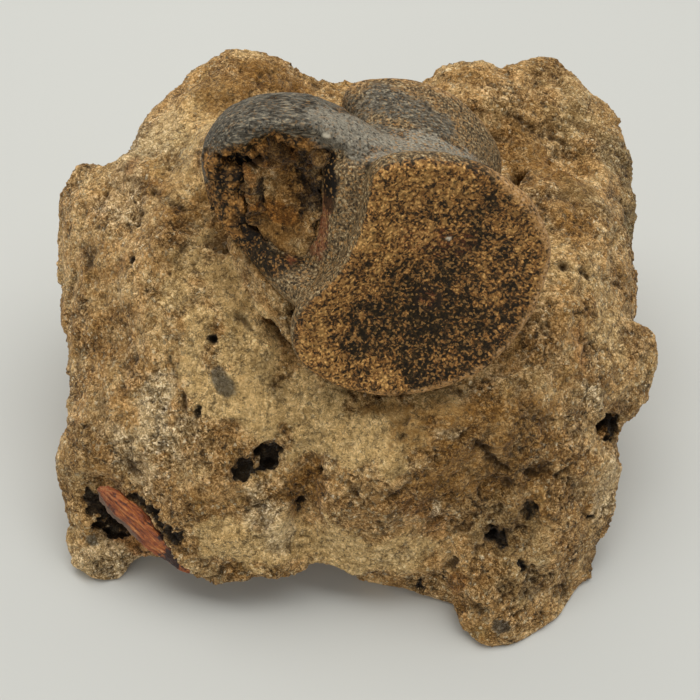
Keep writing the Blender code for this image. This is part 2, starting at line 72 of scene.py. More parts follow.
# Seeds of the broken facets and of the loose grains, and the least and most width of a loose grain.
FACET_SEED = 7
GRAIN_SEED = 11
GRAIN_WIDTHS = (0.35, 0.7)

# Where the bone sits in the block, and which way its axes point.
BONE_MIDDLE = np.array((16.8, -25.2, 92.0))
BONE_OUTWARD = Vector((0.10, -0.92, 0.38)).normalized()
BONE_ARCHWARD = Vector((-0.90, 0.08, 0.43))

# The ends of the bone splinter at the foot of the block.
SPLINTER_TOP = np.array((-65.0, -39.5, 28.0))
SPLINTER_BOTTOM = np.array((-41.6, -55.4, 12.1))

# Streaks of colour in the rock: x, y, z of the point where each begins, x, y, z of the point where it ends,
# how wide to each side, and how strong.
CREAM_STREAKS = {
    "below_near_rim": (-24.6, -30, 55, -6.8, -34.3, 56.5, 7.5, 1),
    "front_shelf": (-10.3, -37.7, 50, 10.2, -39.8, 56, 8.5, 1),
    "shelf_tongue": (11.2, -40.5, 56, 10.1, -47.8, 50, 4, 0.9),
    "knob_web": (-25.8, -31.3, 54, -21.8, -36.3, 50, 4.5, 0.9),
    "left_of_centrum": (-31.8, -5.3, 72, -25.2, -17.3, 66, 6, 0.85),
    "gully_top": (-36, -15, 67.7, -39.1, -22.2, 56.5, 4.5, 0.8),
    "gully_bottom": (-39.1, -22.2, 56.5, -34.8, -29.8, 52, 4.5, 0.9),
    "flank_spot": (-43.5, -6.7, 71.6, -41.8, -8.3, 71, 3.5, 0.6),
    "shoulder": (-46.8, 38.4, 82.2, -35.8, 41.2, 85.5, 9, 0.5),
    "behind_arch": (-40.8, 19.7, 80, -36.8, 31.7, 84, 7, 0.45),
    "knob_foot": (-35.1, -52.9, 24.4, -22.4, -53.3, 22, 7, 0.8),
    "ridge_line": (-34.6, 6.3, 75.8, -39.2, 0.7, 74.5, 1.6, 0.9),
    "right_shelf": (41, -37.5, 55.9, 51.2, -28.3, 58, 5, 0.25),
    "crag_front": (49.2, 6.7, 70, 57.2, -3.3, 68, 6, 0.35),
    "canal_foot": (-18.5, -7.8, 90.8, -14.5, -8.2, 90.2, 3.2, 0.9),
    "under_rim": (17.5, -34, 58.5, 23.5, -34.8, 59.6, 4, 0.8),
    "crag_gully": (52.5, 48, 75.3, 51, 44, 74, 6, 0.3),
    "flank_middle": (-39, -3.1, 74.7, -43, -8.5, 70, 5, 0.6),
    "left_of_rim": (-21.7, -17, 64.3, -21.6, -24.6, 60.1, 4.5, 0.9),
    "gully_web": (-33, -28, 56, -27, -28, 58, 4.5, 0.8),
    "right_notch": (63.1, -12.3, 59.3, 67, -14, 53.3, 6, 0.4),
    "gully_side": (-29, -21, 62.8, -26, -23.5, 62, 4.5, 0.8),
    "low_front": (-14.2, -52.6, 24, 12.8, -55.9, 19.5, 9, 0.75),
}
BROWN_STREAKS = {
    "right_of_cleft": (18.2, -40.8, 56, 44, -38, 55, 9, 0.6),
    "front_right": (23.2, -45.9, 44, 39.2, -44.8, 42, 10, 0.6),
    "peak_crest": (-26.9, 55.2, 87.5, -12.8, 53.3, 82.7, 6.5, 0.7),
    "flank_band": (-47, 15.5, 80.1, -61.1, 27.2, 75.6, 4, 0.55),
    "beside_arch": (-41.9, 8.2, 78, -38.8, 10.7, 78, 4.5, 0.6),
    "left_flank": (-66.8, 9.7, 66, -62.8, -15.3, 50, 9, 0.35),
    "left_front": (-64.3, -22.9, 43.7, -72.5, -35.2, 24.6, 8, 0.35),
    "right_crag": (45.9, 39.7, 73.6, 49.2, 31.7, 72, 8, 0.5),
    "right_wall": (64.2, -37.1, 30, 63.2, -44, 20.5, 7, 0.2),
    "knob_side": (-8.1, -41.6, 40, -12.8, -43.7, 28.7, 5, 0.7),
    "buttress": (38, -52.6, 24.4, 45.8, -47.3, 30, 6, 0.55),
    "under_centrum": (3.2, -35.3, 57, 14.2, -35.8, 59, 3, 0.6),
    "peak_front": (-36, 45, 87, -30, 46.8, 88.3, 6, 0.6),
    "saddle": (52.1, 38.7, 71, 59.6, 23.8, 72.4, 5.5, 0.75),
    "saddle_front": (59.6, 23.8, 72.4, 58.1, 10.9, 72.5, 6, 0.6),
    "back_low": (-30.8, 63.7, 30, 29.2, 63.7, 26, 14, 0.4),
    "right_low": (75.2, 11.7, 20, 69.2, 41.7, 26, 14, 0.4),
}
GREEN_STREAKS = {
    "right_crag_top": (59.2, 63.7, 76.2, 67.2, 51.7, 73, 12, 0.35),
    "right_side": (75.5, 44.7, 64.3, 75.2, 31.7, 55, 9, 0.6),
    "right_saddle": (59.2, 24.5, 72.4, 65.2, 15.7, 70, 6, 0.45),
    "left_shoulder": (-52.8, 33.3, 79.5, -44.8, 27.7, 80, 8, 0.4),
    "buttress": (39.2, -52.3, 30, 44.2, -56.3, 16, 9, 0.45),
    "left_low": (-70.8, -30.3, 32, -72.8, -38.3, 12, 7, 0.35),
}
RUST_STREAKS = {
    "beside_splinter": (-60.2, -43.1, 10, -54.8, -48.3, 8.5, 3.2, 1),
    "right_shoulder": (58.9, -20, 58.1, 55.2, -16.3, 61, 4, 0.6),
    "shelf_front": (14.6, -50.5, 37.8, 21.8, -50.1, 28.6, 4.5, 0.45),
    "cleft_side": (27.4, -58.3, 10.1, 29.2, -58.3, 14, 3, 0.6),
    "flank_fleck": (-59.4, 1.7, 68, -56.8, 3.7, 69, 2.6, 0.5),
    "notch": (-58.2, 26.7, 79, -56.8, 29.7, 80, 2.6, 0.6),
    "canal_floor": (-17, -5.6, 95, -14.5, -5.8, 94.3, 2.4, 1.3),
}
GREY_STREAKS = {
    "left_foot": (-70.1, -49.7, 4.7, -61.8, -49.2, 6.7, 9, 0.6),
    "left_bank": (-58.7, -32.5, 39.7, -51, -38.8, 35.3, 7, 0.5),
    "upper_bank": (-48.5, -26.4, 50.2, -48.7, -33.6, 42.7, 6, 0.9),
    "far_left": (-52, 40, 78, -60, 20, 72, 9, 0.45),
    "right_edge": (68.8, -34.3, 27.2, 66, -40, 20, 6, 0.6),
    "pale_bank": (-49.2, -34, 42.3, -41.8, -35.3, 47, 6, 0.5),
    "knob_right": (-22.6, -48.7, 31.9, -18.1, -52.5, 23.8, 5.5, 0.6),
    "ledge_lip": (60.5, -25.7, 50.7, 63.2, -26.6, 46.8, 4, 0.7),
    "cleft_top": (21.1, -41.4, 56.4, 25.6, -42.1, 55.4, 2.2, 0.55),
    "front_vein": (21.9, -48.8, 35.5, 21.2, -49.3, 31, 1.6, 0.7),
    "flank_vein": (-62.8, -4.3, 60, -59.8, -2.3, 63, 2.5, 0.4),
    "front_low": (-5.2, -52.6, 24, 12.8, -55.9, 19.5, 6, 0.2),
}
ASH_STREAKS = {
    "grey_patch": (-32.2, -25.8, 58, -30.8, -28.3, 56.5, 2.6, 1),
    "round_inclusion": (-69.5, -45.9, 11.5, -69.3, -45.9, 11.3, 2, 1),
    "foot_inclusion": (38.6, -68.3, 6.5, 40, -67.7, 5.6, 2, 1),
}
UMBER_STREAKS = {
    "canal": (-15.8, 0.2, 88, -11.8, 6.2, 101, 11.5, 1),
    "canal_deep": (-5.8, 4.7, 92, -2.8, 3.7, 86, 6, 1),
}
BLACK_SPOTS = {
    "pit_in_knob": (-21.4, -38.3, 40.5, -19.8, -37.8, 42.5, 3, 1),
    "lower_pit": (-26.1, -41.1, 39, -25.9, -40.9, 39.6, 2.6, 1),
    "small_pit": (-7.7, -42.1, 40.5, -7.2, -41.9, 41.4, 1.3, 0.9),
    "knob_groove": (-13.3, -42.9, 32, -12.8, -44.3, 28, 2.4, 0.7),
    "knob_groove_foot": (-11.6, -46.1, 22.5, -11.2, -46.5, 20.5, 1.6, 0.8),
    "ledge_pit": (69, -23.8, 32.5, 66.8, -24.8, 35, 3.2, 1),
    "foot_hole": (24.9, -55.6, 11.7, 24.9, -55.3, 11, 1.9, 1),
    "edge_hole": (19.2, -54.5, 4.2, 19.2, -54.3, 4, 2, 0.9),
    "cavity_top": (-68.6, -37.6, 20.1, -67.2, -38.4, 19, 2.6, 0.95),
    "foot_chunk": (-71.5, -49.5, 4.5, -66, -50.5, 4, 3, 0.42),
    "cavity": (-66, -39.3, 16.5, -62, -40.8, 11.5, 4.4, 1),
    "buttress_spot": (38.2, -52.6, 24.6, 39.8, -52.3, 22.5, 2.4, 0.75),
    "buttress_mark": (45.8, -47.3, 30, 45.5, -47.9, 28, 2.2, 0.65),
    "right_spot": (63.5, -43.7, 20.8, 61.6, -44.3, 20.2, 1.4, 0.9),
    "buttress_crack": (45.2, -57.3, 17.6, 43.9, -56.9, 19.4, 1.2, 0.8),
    "flank_crack": (-55.8, 2.2, 70.5, -56, 0.2, 69.8, 0.9, 0.9),
    "gully_spot": (-34.4, -19, 64.1, -33.6, -18.6, 64.4, 1.3, 0.9),
    "bank_spot": (-37.8, -29.8, 50.5, -38.2, -31.8, 49.5, 1.2, 0.8),
    # Painted shade on the canal's rock beside the bone's flank.
    "canal_shadow": (-9, -1.5, 104.5, -8.6, -6, 97.5, 4.2, 0.62),
    "canal_edge": (-20.6, -2, 101.5, -20.4, -4.5, 95.5, 0.8, 0.7),
    "splinter_side": (-57.2, -41.2, 27.5, -45, -51.9, 22.5, 2.4, 0.9),
}

# Rock in the canal that broken bone is smeared over.
BONY_STREAKS = {
    "roof": (-21, 0.4, 107.4, -8, -0.8, 107.8, 3.4, 1),
    "wall": (-23, -0.8, 103.6, -22.6, -5, 95, 2.4, 1),
}

# Small hollows: where, how wide across, and how deep.
PITS = {
    "flank_pit": ((-55.8, 1.2, 70.5), 1.6, 1.2),
    "flank_pit_low": ((-60.8, -12.3, 54), 1.8, 1),
    "small_pit": ((-7.5, -42.1, 40.9), 1.7, 1.6),
    "gully_pit": ((-34.2, -19, 64.2), 1.9, 1.3),
    "gully_pit_low": ((-38, -30.8, 50), 1.6, 1.3),
    "knob_groove": ((-13.1, -43.6, 30), 2.6, 1.2),
    "right_pit": ((62.5, -43.9, 20.5), 1.8, 1.2),
    "buttress_pit": ((38.9, -52.5, 23.6), 3, 1.4),
    "buttress_pit_high": ((45.6, -47.5, 29.2), 2.8, 1),
    "front_pit": ((49.8, -41.3, 40.3), 2.4, 1.2),
    "crag_pit": ((57.2, 34.7, 71.5), 3, 0.8),
    "crag_pit_low": ((65.2, 21.7, 68), 2.6, 1.1),
}
# Cracks and sharp little steps: the points that each runs through, how wide and how deep.
CRACKS = {
    "foot": ([(29.8, -60.8, 11.5), (31.2, -64.3, 7), (33.8, -67.8, 4.5), (35.8, -69.8, 1.5)], 0.9, 1.2),
    "foot_step": ([(43, -55.5, 20.5), (44.4, -57.2, 18.1), (49, -59.1, 13)], 1.3, 1.6),
    "ledge": ([(31, -41.9, 51.7), (36.8, -44.1, 44.7), (44.9, -42.8, 39.8), (52.7, -42.1, 38.2),
               (60.3, -36, 38.1)], 1.5, 1.5),
    "valley": ([(39.9, -45.1, 38.8), (38, -47.6, 30.4), (36, -52.2, 24.2), (32.6, -55.8, 22.5),
                (27.3, -55.6, 18.8), (21.9, -55, 8.8)], 1.8, 1.4),
    "knob": ([(-13.2, -41.8, 36), (-12.8, -43.8, 28.5), (-11.3, -46.3, 21.5)], 1.6, 1.8),
    "flank": ([(-61.2, 15.7, 73), (-52.8, 13.7, 76), (-44.8, 13.7, 79)], 1.4, 1),
    "flank_marks": ([(-54.8, 11.8, 72.7), (-54, 15.2, 74.3), (-50.7, 11.4, 76.7)], 0.9, 1.2),
    "shoulder": ([(-50.3, 17.4, 78.6), (-45.3, 12.9, 80.2), (-41.5, 10.7, 78.8)], 1.3, 1.4),
    "shelf": ([(13.2, -38.3, 58), (12.8, -43.3, 55), (11.8, -47.8, 49), (10.2, -50.3, 43)], 1.4, 1.2),
    "gully_head": ([(-32.7, -13.2, 69), (-26.6, -14.6, 67.3), (-24.3, -17.4, 65.6)], 1.1, 0.7),
    "splinter_side": ([(-57.2, -41.2, 27.5), (-52.8, -44.8, 25), (-45, -51.9, 22.5),
                       (-42, -54.2, 19)], 1.2, 1.2),
    "canal_wedge": ([(-23.2, -0.9, 105.8), (-20, 0, 104.8)], 1.5, 1.8),
    "canal_roof": ([(-15.2, 0.6, 108.6), (-10.4, 0.2, 106.8)], 0.8, 0.9),
    "gully": ([(-45.4, -19.5, 58.2), (-43.5, -22.5, 55.3), (-41.9, -26.7, 52.6),
               (-41.1, -31.2, 49.9)], 1.2, 1.5),
    "crag": ([(45.3, 48.5, 76.3), (48.2, 45.4, 75), (55.2, 45.6, 72), (61.2, 43, 70.3)], 1.2, 0.8),
    "right_step": ([(52.9, -2.3, 71.9), (60.4, -2, 68.5), (68.9, 2.2, 60.8), (76.6, 4.8, 48.9)], 1.4, 1.5),
}


def linear(hex_colour):
    """An sRGB hex value as a linear colour."""
    parts = [int(hex_colour[i:i + 2], 16) / 255 for i in (0, 2, 4)]
    return tuple(c / 12.92 if c <= 0.04045 else ((c + 0.055) / 1.055) ** 2.4 for c in parts) + (1.0,)


def colour_setting(name, description, hex_colour):
    """A colour that the user can change."""
    return FloatVectorProperty(
        name=name, description=description, subtype="COLOR", size=4, min=0, max=1, default=linear(hex_colour)
    )


def length_setting(name, description, size, least=0.0):
    """A length in millimetres that the user can change."""
    return FloatProperty(
        name=name, description=description, default=size * MM, min=least * MM, unit="LENGTH", precision=5
    )


class SandstoneSettings(bpy.types.PropertyGroup):
    """Sizes and colours of the rock."""

    mesh_step: length_setting(
        "Mesh Step", "Distance between the points of the rock's surface before it is thinned", 0.62, 0.5
    )
    triangles: IntProperty(
        name="Triangles", description="Triangles that the rock's surface keeps", default=196000, min=10000
    )
    lump_height: length_setting("Lump Height", "How far the rock's lumps stand out", 0.7)
    chip_height: length_setting("Chip Height", "How far neighbouring broken facets step and tilt", 1.0)
    crumb_height: length_setting("Crumb Height", "How far crumbs of sand stand out between their gaps", 0.25)
    grain_size: length_setting("Grain Size", "Width of one sand grain", 0.8, 0.1)
    grain_count: IntProperty(
        name="Loose Grains", description="Grains modelled one by one", default=24000, min=0
    )
    sand: colour_setting("Sand", "The rock's main tan", "D4A869")
    cream: colour_setting("Cream", "Freshly cleaned rock", "EAC888")
    brown: colour_setting("Brown", "Rock stained by iron and clay", "9A6C2A")
    green: colour_setting("Green", "Rock with green clay between its grains", "9C9068")
    grey: colour_setting("Grey", "Rock with pale lime cement", "F0D6A4")
    rust: colour_setting("Rust", "Iron rust", "B07430")
    umber: colour_setting("Umber", "Dark rock in the canal", "A0743A")
    ash: colour_setting("Ash", "Inclusions of grey mudstone", "5C584C")
    # Coal also paints the shade on the canal's rock beside the bone's flank.
    coal: colour_setting("Coal", "Coaly specks and the depths of pits", "120E0A")


class BoneSettings(bpy.types.PropertyGroup):
    """Sizes and colours of the vertebra."""

    mesh_step: length_setting("Mesh Step", "Distance between the points of the bone's surface", 0.55, 0.3)
    mottle_size: length_setting("Mottle Size", "Width of the ochre mottles on the end faces", 1.15, 0.2)
    charcoal: colour_setting("Charcoal", "The dark of the mineralised bone", "42331A")
    ochre: colour_setting("Ochre", "The iron ochre in its pores", "AA763C")
    rim: colour_setting("Rim", "The worn edges of the end faces", "C8985C")
    film: colour_setting("Film", "The chalky film on its smooth sides", "989181")
    slate: colour_setting("Slate", "The blue-grey of the neural arch", "6B675C")
    red: colour_setting("Red", "Red-brown bone by the canal and on the end face", "8E4E30")


class StageSettings(bpy.types.PropertyGroup):
    """The floor, the lights and the camera."""

    elevation: FloatProperty(
        name="Elevation", description="Height of the camera above the horizon, as an angle",
        default=math.radians(52), subtype="ANGLE",
    )
    distance: FloatProperty(
        name="Distance", description="From the camera to the point that it looks at",
        default=300 * MM, min=100 * MM, unit="LENGTH",
    )
    lens: FloatProperty(
        name="Lens", description="Focal length of the camera in millimetres", default=60, min=10
    )
    softbox_power: FloatProperty(
        name="Softbox Power", description="Power of the light overhead", default=8.8, min=0, unit="POWER"
    )
    fill_power: FloatProperty(
        name="Fill Power", description="Power of the weaker light in front", default=4.2, min=0, unit="POWER"
    )
    room_light: FloatProperty(
        name="Room Light", description="Strength of the even light from all around", default=0.24, min=0
    )
    floor: colour_setting("Floor", "The plain pale surface under the block", "D4D5D0")


def field(points, size, octaves=3, shift=0.0):
    """Fractal noise at each point, about -1 to 1, whose largest features have that size."""
    places = (points / size + shift).tolist()
    return np.array([noise.fractal(place, 0.9, 2.1, octaves, noise_basis="BLENDER") for place in places])


def facets(points, size, shift=0.0):
    """Heights of a surface broken into tilted facets of about that size, from -1 to 1 or so."""
    noise.seed_set(FACET_SEED)  # noise_vector draws its offsets from the clock until it is given a seed
    heights = []
    for place in (points / size + shift).tolist():
        centre = noise.voronoi(place)[1][0]
        tilt = noise.noise_vector(centre * 7.7)
        heights.append((Vector(place) - centre).dot(tilt) * 1.6 + noise.noise(centre * 5.3))
    return np.array(heights)


def smooth_step(low, high, values):
    """0 below low, 1 above high, and a smooth rise in between."""
    share = np.clip((values - low) / (high - low), 0, 1)
    return share * share * (3 - 2 * share)


def crumbs(points, size, shift=0.0):
    """Heights of rounded crumbs of about that size: 1 on their tops and down to 0 in the gaps between."""
    gaps = [noise.voronoi(place)[0] for place in (points / size + shift).tolist()]
    first, second = np.array([gap[0] for gap in gaps]), np.array([gap[1] for gap in gaps])
    return smooth_step(0.0, 0.42, second - first) * (1 - 0.35 * first)


def distance_to_run(points, start, end):
    """How far each point is from the straight run between start and end."""
    start, run = np.array(start), np.array(end) - np.array(start)
    share = np.clip(((points - start) @ run) / max(run @ run, 1e-9), 0, 1)
    return np.linalg.norm(points - start - share[:, None] * run, axis=1)


def streak_strength(points, streaks, ragged):
    """How strongly a set of streaks colours each point. Ragged shifts their edges."""
    strength = np.zeros(len(points))
    for *ends, reach, most in streaks.values():
        half = len(ends) // 2
        gap = distance_to_run(points, ends[:half], ends[half:]) / reach + ragged
        strength = np.maximum(strength, most * (1 - smooth_step(0.55, 1.25, gap)))
    return strength


def positions(mesh):
    """The mesh's points, in the block's own coordinates and in millimetres."""
    flat = np.empty(len(mesh.vertices) * 3, np.float32)
    mesh.vertices.foreach_get("co", flat)
    return flat.reshape(-1, 3).astype(float) / MM - BLOCK_SHIFT


def set_positions(mesh, points):
    """Moves the mesh's points to places in the block's own coordinates."""
    mesh.vertices.foreach_set("co", ((points + BLOCK_SHIFT) * MM).astype(np.float32).ravel())
    mesh.update()


def directions(mesh):
    """The direction that the surface faces at each point."""
    flat = np.empty(len(mesh.vertices) * 3, np.float32)
    mesh.vertex_normals.foreach_get("vector", flat)
    return flat.reshape(-1, 3).astype(float)


def keep_values(mesh, name, columns):
    """Stores up to four values for each point, which the materials read by that name."""
    values = np.zeros((len(mesh.vertices), 4), np.float32)
    for i, column in enumerate(columns):
        values[:, i] = column
    mesh.attributes.new(name, "FLOAT_COLOR", "POINT").data.foreach_set("color", values.ravel())


def keep_run(mesh, name, vectors):
    """Stores a place for each point, which the materials read by that name to follow the bone's length."""
    mesh.attributes.new(name, "FLOAT_VECTOR", "POINT").data.foreach_set(
        "vector", vectors.astype(np.float32).ravel()
    )


def finer_copy(name, node, step, smoothing):
    """A new object on the node's solid, with an even fine mesh whose facets are smoothed away."""
    rough = bpy.data.objects.new(name + "_rough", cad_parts[node].data.copy())
    bpy.context.scene.collection.objects.link(rough)
    remesh = rough.modifiers.new("Fine", "REMESH")
    remesh.mode = "VOXEL"
    remesh.voxel_size = step
    relax = rough.modifiers.new("Relax", "SMOOTH")
    relax.iterations = smoothing
    relax.factor = 0.5
    bpy.context.view_layer.update()
    evaluated = rough.evaluated_get(bpy.context.evaluated_depsgraph_get())
    mesh = bpy.data.meshes.new_from_object(evaluated)
    mesh.name = name
    mesh.materials.clear()
    bpy.data.objects.remove(rough)
    piece = bpy.data.objects.new(name, mesh)
    bpy.context.scene.collection.objects.link(piece)
    return piece


def thin_out(piece, triangles):
    """Collapses the flattest parts of a piece's mesh until about this many triangles are left."""
    piece.data.calc_loop_triangles()
    thin = piece.modifiers.new("Thin", "DECIMATE")
    thin.ratio = min(1.0, triangles / len(piece.data.loop_triangles))
    thin.use_collapse_triangulate = True
    bpy.context.view_layer.update()
    fine = piece.data
    piece.data = bpy.data.meshes.new_from_object(piece.evaluated_get(bpy.context.evaluated_depsgraph_get()))
    piece.data.name = piece.name
    piece.modifiers.clear()
    bpy.data.meshes.remove(fine)


def finish_piece(piece, node, material):
    """Gives a piece its material, and ties it to the solid that it stands for."""
    piece.data.materials.append(material)
    piece.data.shade_smooth()
    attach(piece, "root")
    if node:
        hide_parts(node)


# What most nodes of these kinds are set to here.
USUAL_SETTINGS = {"Math": {"operation": "MULTIPLY_ADD"}, "Mix": {"data_type": "RGBA"}}

# The outputs of the node that takes a colour apart.
RED_GREEN_BLUE = slice(3)


def add_node(tree, kind, inputs=(), give=None, stops=(), **settings):
    """Adds a node with its settings, values and links, and returns the output or outputs that are wanted.
    Inputs come in order, or by name or number, and a colour can be its sRGB hex value."""
    node = tree.nodes.new("ShaderNode" + kind)
    for name, value in {**USUAL_SETTINGS.get(kind, {}), **settings}.items():
        setattr(node, name, value)
    for key, value in inputs.items() if isinstance(inputs, dict) else enumerate(inputs):
        if isinstance(value, bpy.types.NodeSocket):
            tree.links.new(value, node.inputs[key])
        else:
            node.inputs[key].default_value = linear(value) if isinstance(value, str) else value
    if stops:
        while len(node.color_ramp.elements) < len(stops):
            node.color_ramp.elements.new(1.0)
        for element, (place, colour) in zip(node.color_ramp.elements, stops):
            element.position = place
            element.color = linear(colour) if isinstance(colour, str) else colour
    if give is not None:
        return node.outputs[give]
    return next((socket for socket in node.outputs if socket.enabled), None)


def new_material(name):
    """An empty material, and the function that adds a node to it."""
    material = bpy.data.materials.new(name)
    material.use_nodes = True
    material.node_tree.nodes.clear()
    return material, partial(add_node, material.node_tree)


def tone_channels(add, attribute):
    """The four values stored for each point under that name."""
    colour = add("Attribute", give="Color", attribute_name=attribute)
    alpha = add("Attribute", give="Alpha", attribute_name=attribute)
    return [*add("SeparateColor", (colour,), give=RED_GREEN_BLUE), alpha]


def stain(add, under, channel, colour, wobble, rough, most):
    """Lays a colour over another where a channel is high, with an edge that the wobble breaks up."""
    shifted = add("Math", (wobble, rough, channel))
    edge = add("MapRange", (shifted, 0.1, 0.85, 0.0, most), interpolation_type="SMOOTHSTEP")
    inside = add("Math", (channel, 6.0), operation="MULTIPLY", use_clamp=True)
    weight = add("Math", (edge, inside), operation="MULTIPLY")
    return add("Mix", {0: weight, 6: under, 7: colour})


def tinted(stops, warmth=1.0):
    """Stops of a ramp that multiplies a colour, with dark tones made warmer and bright ones paler, as iron
    stain between grains does."""
    return [(at, (x ** (1 - 0.18 * warmth), x, x ** (1 + 0.4 * warmth), 1.0)) for at, x in stops]


def sandstone_material(name, settings, loose):
    """Medium to coarse sandstone, broken and partly cleaned: matt tan rock that shows its single grains,
    cream and amber quartz, dark rock specks and a little coal, and stains a few millimetres across. Shade is
    painted into its hollows, cracks and the gaps between its crumbs, and highlights onto the crumbs' tops."""
    material, add = new_material(name)
    place = add("TexCoord", give="Object")
    per_mm = 1 / MM
    # Size in millimetres, detail, roughness and distortion of each pattern of tones.
    patches, mottles, crumbs, speckle = [
        add("TexNoise", {"Vector": place, "Scale": per_mm / size, "Detail": detail, "Roughness": rough,
                         "Distortion": twist})
        for size, detail, rough, twist in (
            (9, 4, 0.65, 0), (3.2, 3, 0.6, 0), (1.5, 4, 0.7, 0), (0.7, 2, 0.6, 1),
        )
    ]
    bend = add("TexNoise", {"Vector": place, "Scale": per_mm / 0.9}, give="Color")
    warped = add("Mix", {0: 0.6 * MM, 4: place, 5: bend}, data_type="VECTOR")  # shifts grains up to 0.6 mm
    # The rock's grains are 0.5 to 0.8 mm wide. The finer ones would not show, so all are drawn coarse.
    cells = per_mm / (settings.grain_size / MM)
    grain_round = add("TexVoronoi", {"Vector": warped, "Scale": cells}, give="Distance")
    seam = add("TexVoronoi", {"Vector": warped, "Scale": cells}, give="Distance", feature="DISTANCE_TO_EDGE")
    if loose:
        grain_colour = add("Attribute", give="Color", attribute_name="grain_tint")
    else:
        grain_colour = add("TexVoronoi", {"Vector": warped, "Scale": cells}, give="Color")
    grain_tone, grain_amber, grain_quartz = add("SeparateColor", (grain_colour,), give=RED_GREEN_BLUE)
    cream, brown, green, rust = tone_channels(add, "stone_tones")
    grey, umber, ash, coal = tone_channels(add, "stone_marks")
    # Painted light: the first of these is painted shade in the hollows, creases and cracks, and tops is a
    # painted highlight on the crumbs' tops.
    painted_hollow_shade, crumbly, tops, _ = tone_channels(add, "stone_form")

    base = add("ValToRGB", (patches,), stops=[
        (0.30, "B48F53"), (0.45, settings.sand), (0.58, "E4C084"), (0.72, "C49E60"),
    ])
    crumbled = add("Math", (crumbly, 0.3), operation="MULTIPLY")
    base = add("Mix", {0: crumbled, 6: base, 7: "936834"})
    amber = add("MapRange", (grain_amber, 0.86, 0.9, 0.0, 0.45))
    base = add("Mix", {0: amber, 6: base, 7: "A06E2C"})
    quartz = add("MapRange", (grain_quartz, 0.90, 0.93, 0.0, 0.15 if loose else 0.5))
    base = add("Mix", {0: quartz, 6: base, 7: "E0D0A6"})
    wobble = add("Math", (crumbs, 0.5), operation="SUBTRACT")
    for channel, colour, most in (
        (cream, settings.cream, 0.85), (brown, settings.brown, 0.85), (green, settings.green, 0.6),
        (grey, settings.grey, 0.8), (umber, settings.umber, 0.95), (rust, settings.rust, 0.7),
        (ash, settings.ash, 0.8),
    ):
        base = stain(add, base, channel, colour, wobble, 0.9, most)
    broad = add("ValToRGB", (mottles,), stops=tinted(((0.32, 0.62), (0.5, 1.0), (0.66, 1.25))))
    patchy = add("MapRange", {0: crumbly, 3: 0.4, 4: 0.85})
    stone = add("Mix", {0: patchy, 6: base, 7: broad}, blend_type="MULTIPLY")

    grains = add("ValToRGB", (grain_tone,), stops=tinted((
        (0.0, 0.42), (0.16, 0.66), (0.34, 0.9), (0.62, 1.08), (0.84, 1.3), (0.96, 1.65),
    )))
    specks = add("ValToRGB", (speckle,), stops=tinted((
        (0.33, 0.25), (0.43, 0.66), (0.5, 1.05), (0.57, 1.3), (0.66, 1.6),
    )))
    shade = add("Mix", {0: 0.55, 6: grains, 7: specks})
    worm = add("TexNoise", {"Vector": place, "Scale": per_mm / 1.4, "Detail": 3.0, "Roughness": 0.6,
                            "Distortion": 0.8})
    worm = add("Math", (worm, 0.5), operation="SUBTRACT")
    worm = add("Math", (worm,), operation="ABSOLUTE")
    worm = add("ValToRGB", (worm,), stops=tinted(((0.0, 0.26), (0.03, 0.40), (0.06, 1.0), (0.13, 1.35))))
    shade = add("Mix", {0: 0.9, 6: shade, 7: worm}, blend_type="MULTIPLY")
    contrast = add("MapRange", {0: crumbly, 3: 0.68, 4: 1.0})
    contrast = add("Math", (cream, -0.3, contrast), use_clamp=True)
    stone = add("Mix", {0: contrast, 6: stone, 7: shade}, blend_type="MULTIPLY")
    # Painted shade: the gaps between crumbs, and the seams between grains where the crumbs are low, are made
    # dark.
    broken = add("MapRange", (crumbs, 0.52, 0.42, 0.0, 0.7))
    painted_seam_shade = add("MapRange", (seam, 0.03, 0.2, 1.0, 0.0))
    painted_seam_shade = add("Math", (painted_seam_shade, broken), operation="MULTIPLY", use_clamp=True)
    gap = add("MapRange", (crumbs, 0.37, 0.45, 0.9, 0.0))
    gap = add("Math", (gap, add("MapRange", {0: crumbly, 3: 0.25, 4: 1.0})), operation="MULTIPLY")
    gap = add("Math", (gap, painted_seam_shade), operation="MAXIMUM")
    stone = add("Mix", {0: gap, 6: stone, 7: "2A1D0D"})
    # Painted highlight: the crumbs' tops are made lighter.
    bright = add("Math", (tops, 0.35), operation="MULTIPLY")
    stone = add("Mix", {0: bright, 6: stone, 7: (1.35, 1.33, 1.28, 1)}, blend_type="MULTIPLY")
    # Painted shade: the hollows, creases and cracks are made darker.
    stone = add("Mix", {0: painted_hollow_shade, 6: stone, 7: "402C13"})
    # Coal black in the specks and pits, and painted shade in the canal.
    pitted = add("Math", (wobble, 1.6, coal))
    pitted = add("MapRange", (pitted, 0.35, 0.7, 0.0, 0.92))
    inside = add("Math", (coal, 5.0), operation="MULTIPLY", use_clamp=True)
    pitted = add("Math", (pitted, inside), operation="MULTIPLY")
    stone = add("Mix", {0: pitted, 6: stone, 7: settings.coal})

    relief = add("Math", (grain_round, -0.6, speckle))
    relief = add("Math", (crumbs, 1.6, relief))
    bump = add("Bump", {"Strength": 1.0, "Distance": 0.4 * MM, "Height": relief})
    matt = add("MapRange", (grain_quartz, 0.85, 0.95, 0.92, 0.55))
    surface = add("BsdfPrincipled", {
        "Base Color": stone, "Roughness": matt, "Normal": bump, "Specular IOR Level": 0.15,
        "Diffuse Roughness": 0.6, "Sheen Weight": 0.1, "Sheen Roughness": 0.5,
    })
    add("OutputMaterial", {"Surface": surface})
    return material


